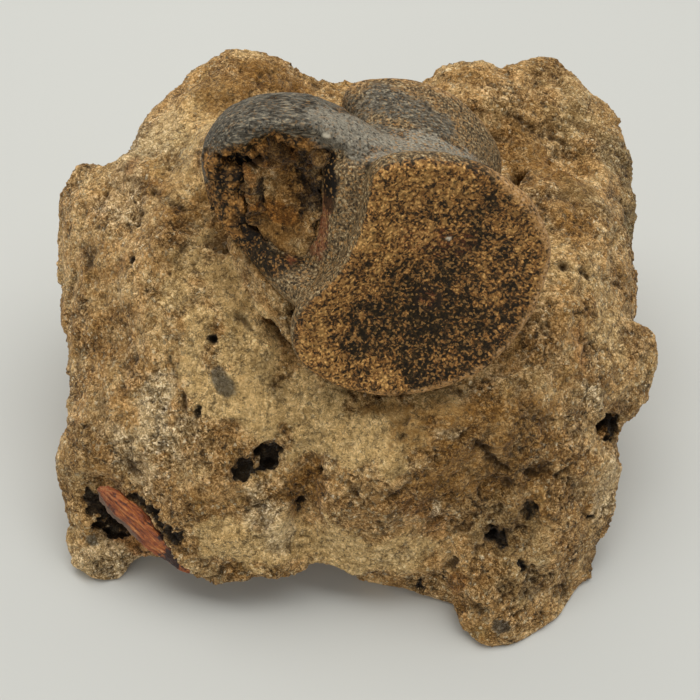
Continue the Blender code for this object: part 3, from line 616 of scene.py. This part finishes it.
def bone_material(name, settings):
    """Phosphatised fossil bone: stone-hard and nearly black, with iron ochre in the pores of its end faces, a
    chalky grey film on the smooth waist and worn tan edges. It has a low dull shine where it is smooth. Shade
    is painted into the cracks of its broken arch and beside the canal."""
    material, add = new_material(name)
    place = add("TexCoord", give="Object")
    per_mm = 1 / MM
    mottle_scale = per_mm / (settings.mottle_size / MM)
    mottle = add("TexNoise", {"Vector": place, "Scale": mottle_scale, "Detail": 4.0, "Roughness": 0.6,
                              "Distortion": 0.9})
    patches = add("TexNoise", {"Vector": place, "Scale": per_mm / 6, "Detail": 3.0, "Roughness": 0.6})
    fine = add("TexNoise", {"Vector": place, "Scale": per_mm / 0.7, "Detail": 3.0, "Roughness": 0.7})
    bend = add("TexNoise", {"Vector": place, "Scale": per_mm / 0.6}, give="Color")
    warped = add("Mix", {0: 0.4 * MM, 4: place, 5: bend}, data_type="VECTOR")  # shifts pores up to 0.4 mm
    granule = add("TexVoronoi", {"Vector": warped, "Scale": per_mm / 0.8}, give="Distance")
    run = add("Attribute", give="Vector", attribute_name="bone_run")
    streaks = add("TexNoise", {"Vector": run, "Scale": 1.5, "Detail": 4.0, "Roughness": 0.7})
    ochre, film, rim, slate = tone_channels(add, "bone_tones")
    dust, red, dark, umber = tone_channels(add, "bone_marks")

    share = add("Math", (ochre, 0.22, mottle))
    drift = add("Math", (patches, 0.5), operation="SUBTRACT")
    share = add("Math", (drift, 0.35, share))
    bone = add("ValToRGB", (share,), stops=[
        (0.48, "2A1E08"), (0.57, settings.charcoal), (0.62, "6A4A28"), (0.68, settings.ochre),
        (0.78, "D4A460"),
    ])
    grit = add("ValToRGB", (granule,), stops=tinted(((0.08, 1.75), (0.35, 1.05), (0.6, 0.4)), warmth=0.4))
    blotch, chip, _, _ = tone_channels(add, "bone_spots")
    bone = add("Mix", {0: blotch, 6: bone, 7: "C08A48"})
    bone = add("Mix", {0: 0.85, 6: bone, 7: grit}, blend_type="MULTIPLY")
    wobble = add("Math", (streaks, 0.5), operation="SUBTRACT")
    slaty = add("ValToRGB", (streaks,), stops=[
        (0.32, "2A241A"), (0.45, "4A4438"), (0.55, settings.slate), (0.66, "B0A284"),
    ])
    chalky = add("ValToRGB", (fine,), stops=[
        (0.32, "5C5546"), (0.5, settings.film), (0.68, "C4BDA8"),
    ])
    dusty = add("ValToRGB", (fine,), stops=[
        (0.34, "241D13"), (0.45, "64533A"), (0.55, "947B56"), (0.66, "DAC498"),
    ])
    worn = add("ValToRGB", (fine,), stops=[
        (0.34, "7A5A38"), (0.5, settings.rim), (0.66, "D8B48A"),
    ])
    # The dark and umber marks are partly painted shade, in the arch's cracks and beside the canal.
    for channel, colour, rough, most in (
        (dust, dusty, 1.3, 0.85), (slate, slaty, 1.0, 0.92), (film, chalky, 0.7, 0.85),
        (red, settings.red, 2.2, 0.6), (umber, "2E2012", 1.0, 0.8), (rim, worn, 1.6, 0.9),
        (dark, "100D0A", 1.0, 0.95),
    ):
        bone = stain(add, bone, channel, colour, wobble, rough, most)
    fleck = add("TexVoronoi", {"Vector": warped, "Scale": per_mm / 0.5}, give="Color")
    tint, pore, _ = add("SeparateColor", (fleck,), give=RED_GREEN_BLUE)
    plain = add("MapRange", {0: slate, 3: 0.6, 4: 0.2})
    tan = add("MapRange", (tint, 0.84, 0.88, 0.0, plain))
    bone = add("Mix", {0: tan, 6: bone, 7: "B0844C"})
    pored = add("MapRange", (pore, 0.82, 0.9, 0.0, 0.7))
    bone = add("Mix", {0: pored, 6: bone, 7: "14110E"})
    bone = add("Mix", {0: chip, 6: bone, 7: "EADFC6"})

    relief = add("Math", (mottle, 0.9, fine))
    relief = add("Math", (granule, -0.5, relief))
    bump = add("Bump", {"Strength": 0.7, "Distance": 0.3 * MM, "Height": relief})
    gloss = add("MapRange", (fine, 0.3, 0.7, 0.5, 0.72))
    surface = add("BsdfPrincipled", {
        "Base Color": bone, "Roughness": gloss, "Normal": bump, "Specular IOR Level": 0.2,
    })
    add("OutputMaterial", {"Surface": surface})
    return material


def splinter_material(name):
    """Iron-stained fossil bone, split lengthwise: fibrous red-brown and orange streaks along its length, with
    a grey skin on one edge and blue-black patches of mineral."""
    material, add = new_material(name)
    # The run is in millimetres, so each scale below is a pattern's repeats in a millimetre.
    run = add("Attribute", give="Vector", attribute_name="splinter_run")
    lengthwise = add("VectorMath", (run, (0.25, 1.9, 1.9)), operation="MULTIPLY")
    streaks = add("TexNoise", {"Vector": lengthwise, "Scale": 1.0, "Detail": 5.0, "Roughness": 0.65})
    blotches = add("TexNoise", {"Vector": run, "Scale": 0.33, "Detail": 3.0, "Roughness": 0.6})
    fine = add("TexNoise", {"Vector": run, "Scale": 2.2, "Detail": 3.0, "Roughness": 0.7})
    bone = add("ValToRGB", (streaks,), stops=[
        (0.34, "4A2818"), (0.44, "8A4626"), (0.52, "B0622F"), (0.60, "C87C3C"),
        (0.72, "D8A070"),
    ])
    grey, black = [add("Attribute", give=part, attribute_name="splinter_marks") for part in ("Fac", "Alpha")]
    shifted = add("Math", (add("Math", (streaks, 0.5), operation="SUBTRACT"), 1.6, grey))
    weight = add("MapRange", (shifted, 0.35, 0.75, 0.0, 0.8))
    bone = add("Mix", {0: weight, 6: bone, 7: "6C6153"})
    shifted = add("Math", (add("Math", (blotches, 0.5), operation="SUBTRACT"), 1.8, black))
    weight = add("MapRange", (shifted, 0.42, 0.6, 0.0, 0.92))
    bone = add("Mix", {0: weight, 6: bone, 7: "1C1B1F"})
    relief = add("Math", (streaks, 2.0, fine))
    bump = add("Bump", {"Strength": 0.7, "Distance": 0.4 * MM, "Height": relief})
    surface = add("BsdfPrincipled", {"Base Color": bone, "Roughness": 0.55, "Normal": bump})
    add("OutputMaterial", {"Surface": surface})
    return material


def surface_distance(points, node, most=4.0):
    """How far each point is from a node's solid, up to the most that matters."""
    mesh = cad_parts[node].data
    mesh.calc_loop_triangles()
    tree = BVHTree.FromPolygons(
        [v.co / MM for v in mesh.vertices], [tuple(t.vertices) for t in mesh.loop_triangles]
    )
    found = [tree.find_nearest(Vector(point), most)[3] for point in (points + BLOCK_SHIFT).tolist()]
    return np.array([most if gap is None else gap for gap in found])


def weather_rock(mesh, settings):
    """Breaks the smooth block up into lumps, facets, crumbs, pits and cracks, and stores its stains and its
    painted shade and highlights.
    """
    points, outward = positions(mesh), directions(mesh)
    ragged = field(points, 6.0, 4, 3.0)
    cream = streak_strength(points, CREAM_STREAKS, 0.5 * ragged)
    umber = streak_strength(points, UMBER_STREAKS, 0.3 * ragged)
    torn = field(points, 2.2, 3, 9.0)
    coal = streak_strength(points, BLACK_SPOTS, 0.62 * torn)
    rust = streak_strength(points, RUST_STREAKS, 0.5 * ragged)
    bony = streak_strength(points, BONY_STREAKS, 0.35 * ragged)
    blotch = smooth_step(0.0, 0.25, field(points, 2.8, 3, 12.0))
    rust = np.maximum(rust, bony * blotch)
    coal = np.maximum(coal, 0.5 * bony * (1 - blotch))
    near_bone = 1 - smooth_step(0.6, 3.0, surface_distance(points, "vertebra"))
    base = 1 - smooth_step(0.2, 3.0, points[:, 2])
    calm = (1 - 0.45 * cream) * (1 - 0.7 * near_bone * (1 - umber)) * (1 - base)
    front = smooth_step(-5.0, 45.0, -points[:, 1])
    crumbly = smooth_step(-0.35, 0.45, field(points, 10.0, 3, 21.0) + 0.3 * front - 0.15) * (1 - 0.6 * cream)
    crumbly = np.maximum(crumbly * (1 - 0.5 * near_bone), umber)
    broad = settings.lump_height / MM * field(points, 13.0, 4, 1.0)
    broad += settings.chip_height / MM * facets(points, 8.5, 5.0)
    crumb = settings.crumb_height / MM
    fine = 0.36 * settings.chip_height / MM * facets(points, 3.4, 11.0)
    fine += crumb * (crumbs(points, 1.7, 6.0) - 0.6) * (0.35 + 0.65 * crumbly)
    fine += 0.8 * crumb * field(points, 1.3, 3, 2.0) * (0.45 + 0.55 * crumbly)
    holes = crumbs(points, 4.6, 15.0) < 0.12
    fine -= 1.2 * crumb * holes * crumbly
    creases = 1 - smooth_step(0.0, 0.1, np.abs(field(points, 11.0, 4, 31.0)))
    creases *= smooth_step(-0.1, 0.3, field(points, 20.0, 2, 41.0))
    web = 1 - smooth_step(0.0, 0.12, np.abs(field(points, 5.0, 3, 61.0)))
    web *= crumbly * smooth_step(0.0, 0.35, field(points, 9.0, 2, 71.0))
    rise = (broad + fine - 0.9 * creases - 0.4 * web) * calm
    for middle, reach, depth in PITS.values():
        gap = distance_to_run(points, middle, middle) / reach + 0.3 * ragged
        rise -= depth * (1 - smooth_step(0.35, 1.15, gap))
    splits = np.maximum(0.5 * creases, 0.75 * web) * calm
    broken = smooth_step(-0.3, 0.15, field(points, 4.0, 2, 81.0))
    for route, width, depth in CRACKS.values():
        gap = np.min([distance_to_run(points, a, b) for a, b in zip(route, route[1:])], axis=0)
        split = (1 - smooth_step(0.1, 1.0, gap / width + 0.35 * ragged + 0.5 * torn)) * (0.25 + 0.75 * broken)
        rise -= depth * split
        splits = np.maximum(splits, split)
    rise -= 1.1 * smooth_step(0.4, 0.9, coal) - 1.1 * torn * smooth_step(0.02, 0.4, coal)
    rise += 0.6 * near_bone + (1.1 + 0.8 * torn) * near_bone * umber + (1.7 + 0.5 * torn) * bony
    moved = points + outward * rise[:, None]
    moved[:, 2] = np.maximum(moved[:, 2], np.where(points[:, 2] < 0.4, 0.02, 0.3))
    set_positions(mesh, moved)
    keep_values(mesh, "stone_tones", [
        cream, streak_strength(points, BROWN_STREAKS, 0.6 * ragged),
        streak_strength(points, GREEN_STREAKS, 0.6 * ragged), rust,
    ])
    keep_values(mesh, "stone_marks", [
        streak_strength(points, GREY_STREAKS, 0.6 * ragged), umber,
        streak_strength(points, ASH_STREAKS, 0.3 * ragged), coal,
    ])
    # Painted shade: darker where the relief is low and in its creases and cracks; the crumbs' tops get a
    # painted highlight.
    painted_hollow_shade = 0.4 * smooth_step(0.1, 0.5, -fine) + 0.2 * smooth_step(0.3, 1.4, -broad)
    painted_hollow_shade += 0.3 * smooth_step(0.6, 1.6, -rise) + 0.75 * splits
    keep_values(mesh, "stone_form", [np.clip(painted_hollow_shade, 0, 0.9), crumbly, smooth_step(0.08, 0.4, fine)])


STONE_LAYERS = ("stone_tones", "stone_marks", "stone_form")


def crystal_mesh(name, rock, count):
    """Separate angular grains, each sunk a little into the rock's surface, as one mesh."""
    rng = np.random.default_rng(GRAIN_SEED)
    points, outward = positions(rock), directions(rock)
    rock.calc_loop_triangles()
    corners_of = np.empty(len(rock.loop_triangles) * 3, np.int32)
    rock.loop_triangles.foreach_get("vertices", corners_of)
    corners_of = corners_of.reshape(-1, 3)
    sides = points[corners_of[:, 1:]] - points[corners_of[:, :1]]
    area = np.linalg.norm(np.cross(sides[:, 0], sides[:, 1]), axis=1)
    area[(points[corners_of[:, 0], 2] < 1.5) | (outward[corners_of[:, 0], 2] < -0.8)] = 0
    chosen = corners_of[rng.choice(len(area), size=count, p=area / area.sum())]
    share = rng.dirichlet((1.0, 1.0, 1.0), count)[:, :, None]
    seats = (points[chosen] * share).sum(axis=1)
    facing = outward[chosen[:, 0]]
    tips = np.array([(1, 0, 0), (-1, 0, 0), (0, 1, 0), (0, -1, 0), (0, 0, 1), (0, 0, -1)], float)
    faces = np.array([(0, 2, 4), (2, 1, 4), (1, 3, 4), (3, 0, 4), (2, 0, 5), (1, 2, 5), (3, 1, 5), (0, 3, 5)])
    half = rng.uniform(*GRAIN_WIDTHS, (count, 1, 1)) / 2
    stretch = rng.uniform(0.75, 1.15, (count, 1, 3))
    uneven = rng.uniform(0.85, 1.15, (count, 6, 1))
    turn, _ = np.linalg.qr(rng.normal(size=(count, 3, 3)))
    turn[np.linalg.det(turn) < 0] *= -1
    shapes = np.einsum("nij,nkj->nki", turn, tips[None] * stretch * uneven * half)
    places = seats[:, None] - facing[:, None] * half * 0.2 + BLOCK_SHIFT
    vertices = (shapes + places).reshape(-1, 3) * MM
    faces = (faces[None] + 6 * np.arange(count)[:, None, None]).reshape(-1, 3)
    mesh = bpy.data.meshes.new(name)
    mesh.from_pydata(vertices.tolist(), [], faces.tolist())
    for attribute in STONE_LAYERS:
        flat = np.empty(len(rock.vertices) * 4, np.float32)
        rock.attributes[attribute].data.foreach_get("color", flat)
        keep_values(mesh, attribute, np.repeat(flat.reshape(-1, 4)[chosen[:, 0]], 6, axis=0).T)
    keep_values(mesh, "grain_tint", np.repeat(rng.uniform(0, 1, (count, 3)), 6, axis=0).T)
    return mesh


def bone_axes():
    """The bone's own axes as rows: across the end face, towards the arch, and out of the end face."""
    outward = BONE_OUTWARD
    archward = (BONE_ARCHWARD - outward * BONE_ARCHWARD.dot(outward)).normalized()
    return np.array([archward.cross(outward), archward, outward])


# Streaks of ochre and dark on the nearer end face: from one point to another, each across and archward from
# the face's middle, then how wide to each side and how strong. The small dimple is a point on the same face.
OCHRE_FACE = {
    "arch_edge": (-22, 20, 18, 19, 8, 1),
    "top_edge": (18, 19, 27, 6, 4.5, 1),
    "left_rim": (-27, 16, -29, -2, 6, 0.9),
    "right_rim": (10, -25, 28, -6, 6, 0.8),
    "upper_field": (4, 12, 22, 6, 10, 0.8),
    "middle_left": (-6, 11, -2, 14, 6, 0.7),
    "middle_right": (4, -14, 14, -14, 6, 0.5),
}
DARK_FACE = {
    "middle": (0, -8, -8, -3, 7, 0.85),
    "lower": (-22, 5, -23, -10, 6, 0.5),
    "upper_right": (20, -8, 24, -4, 5, 0.4),
}
DIMPLE = (-5.1, -4.2)

# Streaks on the bone's sides, arch, far end and chipped spots, in the block's coordinates.
SLATE_STREAKS = {
    "ridge_left": (-33.5, -0.5, 101, -30.5, 1.5, 110.5, 4.5, 1),
    "ridge_top": (-28.5, 3.5, 113.5, -8.8, 1.5, 117, 8.5, 1),
    "ridge_right": (-8.8, 1.5, 117, 0, -0.2, 113.3, 6, 1),
    "ridge_foot": (0, 2, 112.5, 4, 12, 104.5, 7, 0.7),
    "ridge_back": (-30.5, 10.5, 106, -8.8, 12.5, 108, 9, 1),
    "far_middle": (7.3, 25, 102.6, 22, 19, 99.5, 5.5, 0.75),
    "far_left": (-1, 27, 100, 2, 22, 101, 4, 0.6),
}
FILM_STREAKS = {
    "waist_left": (-2.5, 3, 114, 11.6, 6.8, 104.5, 8, 0.6),
    "waist": (11.6, 6.8, 104.1, 24, 8, 99.8, 8, 0.75),
    "waist_right": (24, 8, 99.6, 34, 9, 90, 7, 0.65),
    "behind_rim": (8, -4, 108, 26, -3, 103.5, 5, 0.7),
    "below_right": (39, 5, 80, 40, 2, 68, 6, 0.5),
}
DUST_STREAKS = {
    "pedicle": (-2.5, -3.5, 109.5, -3.5, -12, 98, 7, 0.85),
    "pedicle_foot": (-3.5, -12, 98, -10, -16.5, 89, 6, 0.85),
    "behind_rim": (-6.5, -19, 88, -16, -18.5, 80, 6, 0.8),
    "left_of_face": (-16, -18.5, 80, -22, -16, 72, 6, 0.8),
    "canal_foot": (-17, -9.5, 88, -11.5, -11, 87.5, 3, 0.9),
}
PALE_CHIPS = {
    "on_face": (22, -17.6, 98.5, 22.3, -17.5, 98.3, 0.5, 0.9),
    "on_ridge": (-5.5, -1.8, 114.5, -5, -1.9, 114.3, 0.75, 0.9),
}
FAR_OCHRE = {
    "top": (2, 30, 101.5, 9, 31.5, 102.8, 4, 0.8),
    "right": (14, 28.5, 102.3, 25.5, 21, 97.5, 4.5, 0.7),
}
LAMINA_STREAKS = {
    "wall_top": (-29.5, -3, 105, -29, -4, 92, 6, 1),
    "wall_foot": (-28.5, -5, 91, -24.8, -8.2, 89.8, 5, 1),
    "roof_left": (-26, -2.6, 109, -18, -1, 111.5, 3.6, 1),
    "roof_right": (-18, -1, 111.5, -9.5, 0, 109, 3.6, 1),
}


def edge_distance(points, beyond):
    """How far each point is from the nearest one that lies beyond an edge."""
    tree = KDTree(int(beyond.sum()))
    for i, point in enumerate(points[beyond].tolist()):
        tree.insert(point, i)
    tree.balance()
    return np.array([tree.find(point)[2] for point in points.tolist()])


def colour_bone(mesh):
    """Stores where the bone is mottled, filmed, worn, slaty, red or black, and where shade is painted in the
    arch's cracks and beside the canal, and returns where its broken arch, its nearer end face and the rim of
    that face are."""
    points, facing = positions(mesh), directions(mesh)
    axes = bone_axes()
    own = (points - BONE_MIDDLE) @ axes.T
    out = facing @ axes[2]
    behind = -own[:, 2]
    ragged = field(points, 5.0, 3, 4.0)
    face = smooth_step(0.3, 0.85, out) * (1 - smooth_step(6.0, 10.0, behind))
    ochre = face * (0.34 + 0.6 * streak_strength(own[:, :2], OCHRE_FACE, 0.4 * ragged))
    ochre -= face * 0.27 * streak_strength(own[:, :2], DARK_FACE, 0.5 * ragged)
    arch = smooth_step(26.0, 34.0, own[:, 1])
    waist = (1 - face) * (1 - arch)
    rim = 1 - smooth_step(0.8, 2.5, edge_distance(points, (out < 0.6) | (behind > 6.0)))
    rim *= (1 - smooth_step(3.0, 5.5, behind)) * smooth_step(-6.0, 8.0, -own[:, 1])
    far_rim = smooth_step(46.0, 50.0, behind) * (1 - arch)
    film = streak_strength(points, FILM_STREAKS, 0.35 * ragged) * (1 - face)
    ochre += waist * 0.22
    ochre = np.maximum(ochre, streak_strength(points, FAR_OCHRE, 0.4 * ragged))
    lamina = streak_strength(points, LAMINA_STREAKS, 0.3 * ragged) * smooth_step(-0.35, 0.2, out)
    slate = streak_strength(points, SLATE_STREAKS, 0.3 * ragged) * (1 - lamina) * (1 - face)
    dust = streak_strength(points, DUST_STREAKS, 0.35 * ragged) * (1 - lamina) * (1 - face)
    beside_rim = (1 - smooth_step(7.0, 14.0, behind)) * smooth_step(-4.0, 10.0, own[:, 1])
    dust = np.maximum(dust, (1 - face) * np.maximum(0.8 * beside_rim, 0.7 * smooth_step(30.0, 36.0, behind)))
    red = streak_strength(points, {
        "canal_side": (-5.8, -8.5, 100.5, -6.8, -13.3, 92, 3.2, 0.85),
        "canal_foot": (-6.8, -13.3, 92, -13.8, -12.5, 86.5, 2.6, 0.6),
        "face_band": (12, -17, 99, 26, -17.6, 97, 4, 0.25),
    }, 0.5 * ragged)
    ochre = np.maximum(ochre, lamina * 0.3)
    black = streak_strength(points, {
        # The first three are painted shade in the cracks of the arch; the last is painted shade on the
        # pedicle beside the canal.
        "wedge_tip_shade": (-29.9, -3.3, 109.6, -26.5, -2.4, 107.8, 0.9, 1),
        "wedge_shade": (-26.5, -2.4, 107.8, -21.5, -0.8, 105, 2, 1),
        "roof_crack_shade": (-18.2, -0.2, 110.9, -15, 0.4, 109.5, 0.7, 0.9),
        "wall_top": (-28.8, -2.3, 103, -23.8, -2.3, 103, 2.6, 0.7),
        "wall_foot": (-25.8, -6.3, 93, -22.8, -8.8, 88.5, 2.2, 0.6),
        "canal_foot": (-22, -9.5, 87, -18, -11.5, 83.5, 3.4, 0.38),
        "pedicle_shade": (-4.5, -3, 108.3, -4.4, -7.5, 104.5, 2.8, 0.85),
    }, 0.35 * ragged)
    umber = streak_strength(points, {
        # Painted shade on the flank beside the canal.
        "canal_side": (-4.6, -2.5, 108.5, -4.9, -9, 101, 3, 0.95),
    }, 0.4 * ragged)
    dimple = np.hypot(*(own[:, :2] - DIMPLE).T)
    ring = np.exp(-(((dimple - 2.7) / 0.6) ** 2)) * face
    red = np.maximum(red, 0.3 * face * (1 - smooth_step(1.6, 2.8, dimple)))
    worn = (0.9 * rim + 0.5 * far_rim) * (0.75 + 0.6 * ragged)
    keep_values(mesh, "bone_tones", [np.clip(tone, 0, 1) for tone in (ochre, film, worn, slate)])
    blotch = 0.9 * lamina * smooth_step(0.12, 0.26, field(points, 2.6, 3, 12.0))
    keep_values(mesh, "bone_spots", [blotch, streak_strength(points, PALE_CHIPS, 0.2 * ragged)])
    marks = [np.clip(mark, 0, 1) for mark in (dust, red, black)]
    keep_values(mesh, "bone_marks", [*marks, umber + ring])
    lengthwise = own * (1.0, 0.35, 1.0)
    ridge = np.column_stack([points[:, 0] * 0.3, points[:, 1], points[:, 2]])
    keep_run(mesh, "bone_run", lengthwise + arch[:, None] * (ridge - lengthwise))
    return lamina, face, rim


# Splits in the broken arch: where from and to, how wide and how deep.
WEDGES = (
    (((-29.9, -3.3, 109.6), (-26.5, -2.4, 107.8)), 1, 1.8),
    (((-26.5, -2.4, 107.8), (-21.5, -0.8, 105)), 1.8, 3.2),
    (((-18.2, -0.2, 110.9), (-15, 0.4, 109.5)), 0.8, 1.2),
)


def weather_bone(mesh):
    """Gives the bone its pores, its chipped rim and its rough broken arch."""
    lamina, face, rim = colour_bone(mesh)
    points, outward = positions(mesh), directions(mesh)
    rise = 0.22 * field(points, 7.0, 3, 6.0) + 0.09 * field(points, 1.2, 2, 8.0) * (0.6 + 0.6 * face)
    rise += 0.3 * rim + lamina * (1.2 * facets(points, 3.2, 4.0) + 0.5 * field(points, 1.6, 3, 7.0))
    for (start, end), width, depth in WEDGES:
        gap = distance_to_run(points, start, end) / width + 0.4 * field(points, 1.8, 2, 1.0)
        rise -= depth * (1 - smooth_step(0.2, 1.1, gap))
    set_positions(mesh, points + outward * rise[:, None])


def weather_splinter(mesh):
    """Gives the splinter its lengthwise grooves, and stores its stains and how far along and across it each
    point is."""
    points, outward = positions(mesh), directions(mesh)
    along = SPLINTER_BOTTOM - SPLINTER_TOP
    length = np.linalg.norm(along)
    along = along / length
    across = np.cross(along, (-0.25, -0.85, 0.45))
    across = across / np.linalg.norm(across)
    outer = np.cross(across, along)
    run = np.column_stack([(points - SPLINTER_TOP) @ axis for axis in (along, across, outer)])
    rise = 0.5 * field(run * (0.2, 1.0, 1.0), 1.5, 4, 2.0) + 0.2 * field(points, 1.4, 3, 5.0)
    set_positions(mesh, points + outward * rise[:, None])
    keep_run(mesh, "splinter_run", run)
    share = run[:, 0] / length
    grey = smooth_step(0.4, 2.4, run[:, 1]) * (1 - smooth_step(0.35, 0.75, share))
    grey += 0.35 * (1 - smooth_step(0.1, 0.3, share))
    black = 0.2 + 0.25 * smooth_step(1.8, 3.2, -run[:, 1]) * smooth_step(0.3, 0.5, share)
    black += 0.4 * smooth_step(0.55, 0.75, share)
    keep_values(mesh, "splinter_marks", [grey, grey, grey, np.clip(black, 0, 1)])


class FOSSIL_OT_sandstone(bpy.types.Operator):
    """Builds the sandstone block with its broken surface and stains"""

    bl_idname = "fossil.sandstone"
    bl_label = "Sandstone Block"

    def execute(self, context):
        settings = context.scene.fossil_sandstone
        block = finer_copy("sandstone_block", "matrix_block", settings.mesh_step, ROCK_SMOOTHING)
        weather_rock(block.data, settings)
        thin_out(block, settings.triangles)
        material = sandstone_material("medium_sandstone", settings, loose=False)
        finish_piece(block, "matrix_block", material)
        return {"FINISHED"}


class FOSSIL_OT_grains(bpy.types.Operator):
    """Sets separate sand grains into the block's surface"""

    bl_idname = "fossil.grains"
    bl_label = "Sand Grains"

    def execute(self, context):
        settings = context.scene.fossil_sandstone
        rock = bpy.data.objects["sandstone_block"].data
        material = sandstone_material("sand_grain", settings, loose=True)
        mesh = crystal_mesh("sand_grains", rock, settings.grain_count)
        grains = bpy.data.objects.new("sand_grains", mesh)
        context.scene.collection.objects.link(grains)
        finish_piece(grains, None, material)
        grains.data.shade_flat()
        return {"FINISHED"}


class FOSSIL_OT_vertebra(bpy.types.Operator):
    """Builds the mineralised vertebra"""

    bl_idname = "fossil.vertebra"
    bl_label = "Vertebra"

    def execute(self, context):
        settings = context.scene.fossil_bone
        bone = finer_copy("fossil_vertebra", "vertebra", settings.mesh_step, BONE_SMOOTHING)
        weather_bone(bone.data)
        finish_piece(bone, "vertebra", bone_material("phosphatised_bone", settings))
        return {"FINISHED"}


class FOSSIL_OT_splinter(bpy.types.Operator):
    """Builds the red bone splinter at the foot of the block"""

    bl_idname = "fossil.splinter"
    bl_label = "Bone Splinter"

    def execute(self, context):
        splinter = finer_copy("red_bone_splinter", "bone_splinter", SPLINTER_STEP, SPLINTER_SMOOTHING)
        weather_splinter(splinter.data)
        finish_piece(splinter, "bone_splinter", splinter_material("iron_stained_bone"))
        return {"FINISHED"}


class FOSSIL_OT_stage(bpy.types.Operator):
    """Sets the floor, the soft lights and the camera"""

    bl_idname = "fossil.stage"
    bl_label = "Stage"

    def execute(self, context):
        settings = context.scene.fossil_stage
        scene = context.scene
        scene.view_settings.view_transform = "Standard"
        make_floor(settings)
        make_lights(settings)
        make_camera(settings)
        return {"FINISHED"}


def make_floor(settings):
    """A wide, level floor of pale matt card, which takes soft shadows and has no shine."""
    half = 3.0
    corners = [(-half, -half, 0), (half, -half, 0), (half, half, 0), (-half, half, 0)]
    mesh = bpy.data.meshes.new("pale_floor")
    mesh.from_pydata(corners, [], [(0, 1, 2, 3)])
    material, add = new_material("matt_card")
    surface = add("BsdfPrincipled", {
        "Base Color": settings.floor, "Roughness": 0.9, "Specular IOR Level": 0.15,
    })
    add("OutputMaterial", {"Surface": surface})
    mesh.materials.append(material)
    floor = bpy.data.objects.new("pale_floor", mesh)
    bpy.context.scene.collection.objects.link(floor)


def add_softbox(name, place, sides, power):
    """One rectangular soft light, turned towards the block."""
    lamp = bpy.data.lights.new(name, "AREA")
    lamp.shape = "RECTANGLE"
    lamp.size, lamp.size_y = sides
    lamp.energy = power
    lamp.color = (1.0, 0.99, 0.97)
    softbox = bpy.data.objects.new(name, lamp)
    softbox.location = place
    aim = Vector((0.0, 0.0, 0.05)) - softbox.location
    softbox.rotation_euler = aim.to_track_quat("-Z", "Y").to_euler()
    bpy.context.scene.collection.objects.link(softbox)


def make_lights(settings):
    """A broad softbox above and a little behind the block, a weaker one in front, and even light all
    around."""
    add_softbox("softbox", (0.05, 0.22, 0.86), (1.4, 0.7), settings.softbox_power)
    add_softbox("fill", (-0.65, -1.15, 0.3), (0.8, 0.3), settings.fill_power)
    world = bpy.data.worlds.new("white_room")
    world.use_nodes = True
    background = world.node_tree.nodes["Background"]
    background.inputs["Color"].default_value = (1.0, 1.0, 0.99, 1)
    background.inputs["Strength"].default_value = settings.room_light
    bpy.context.scene.world = world


def make_camera(settings):
    """Looks down on the block from the front."""
    target = (Vector((0.0, -13.0, 52.0)) + Vector(BLOCK_SHIFT)) * MM
    back = Vector((0, -math.cos(settings.elevation), math.sin(settings.elevation)))
    camera = bpy.data.objects.new("camera", bpy.data.cameras.new("camera"))
    camera.data.lens = settings.lens
    camera.data.sensor_width = 36
    camera.data.clip_start = 0.01
    camera.location = target + back * settings.distance
    camera.rotation_euler = (-back).to_track_quat("-Z", "Y").to_euler()
    bpy.context.scene.collection.objects.link(camera)
    bpy.context.scene.camera = camera


class FOSSIL_PT_panel(bpy.types.Panel):
    """Lists the fossil's pieces"""

    bl_idname = "FOSSIL_PT_panel"
    bl_label = "Fossil Vertebra"
    bl_space_type = "VIEW_3D"
    bl_region_type = "UI"
    bl_category = "Fossil"

    def draw(self, context):
        scene = context.scene
        for title, settings, operators in (
            ("Sandstone", scene.fossil_sandstone, (FOSSIL_OT_sandstone, FOSSIL_OT_grains)),
            ("Bone", scene.fossil_bone, (FOSSIL_OT_vertebra, FOSSIL_OT_splinter)),
            ("Stage", scene.fossil_stage, (FOSSIL_OT_stage,)),
        ):
            box = self.layout.box()
            box.label(text=title)
            for name in settings.__annotations__:
                box.prop(settings, name)
            for operator in operators:
                box.operator(operator.bl_idname)


SETTINGS = {
    "fossil_sandstone": SandstoneSettings,
    "fossil_bone": BoneSettings,
    "fossil_stage": StageSettings,
}
OPERATORS = (FOSSIL_OT_sandstone, FOSSIL_OT_grains, FOSSIL_OT_vertebra, FOSSIL_OT_splinter, FOSSIL_OT_stage)


def register():
    for group in SETTINGS.values():
        bpy.utils.register_class(group)
    for name, group in SETTINGS.items():
        setattr(bpy.types.Scene, name, PointerProperty(type=group))
    for kind in OPERATORS + (FOSSIL_PT_panel,):
        bpy.utils.register_class(kind)


def unregister():
    for kind in reversed(OPERATORS + (FOSSIL_PT_panel,)):
        bpy.utils.unregister_class(kind)
    for name, group in SETTINGS.items():
        delattr(bpy.types.Scene, name)
        bpy.utils.unregister_class(group)


def clear_start_objects():
    """Removes the cube, camera and light that a new Blender file starts with."""
    for name in ("Cube", "Camera", "Light"):
        if name in bpy.data.objects:
            bpy.data.objects.remove(bpy.data.objects[name])


def main():
    clear_start_objects()
    register()
    bpy.ops.fossil.sandstone()
    bpy.ops.fossil.grains()
    bpy.ops.fossil.vertebra()
    bpy.ops.fossil.splinter()
    bpy.ops.fossil.stage()


if __name__ == "__main__":
    main()
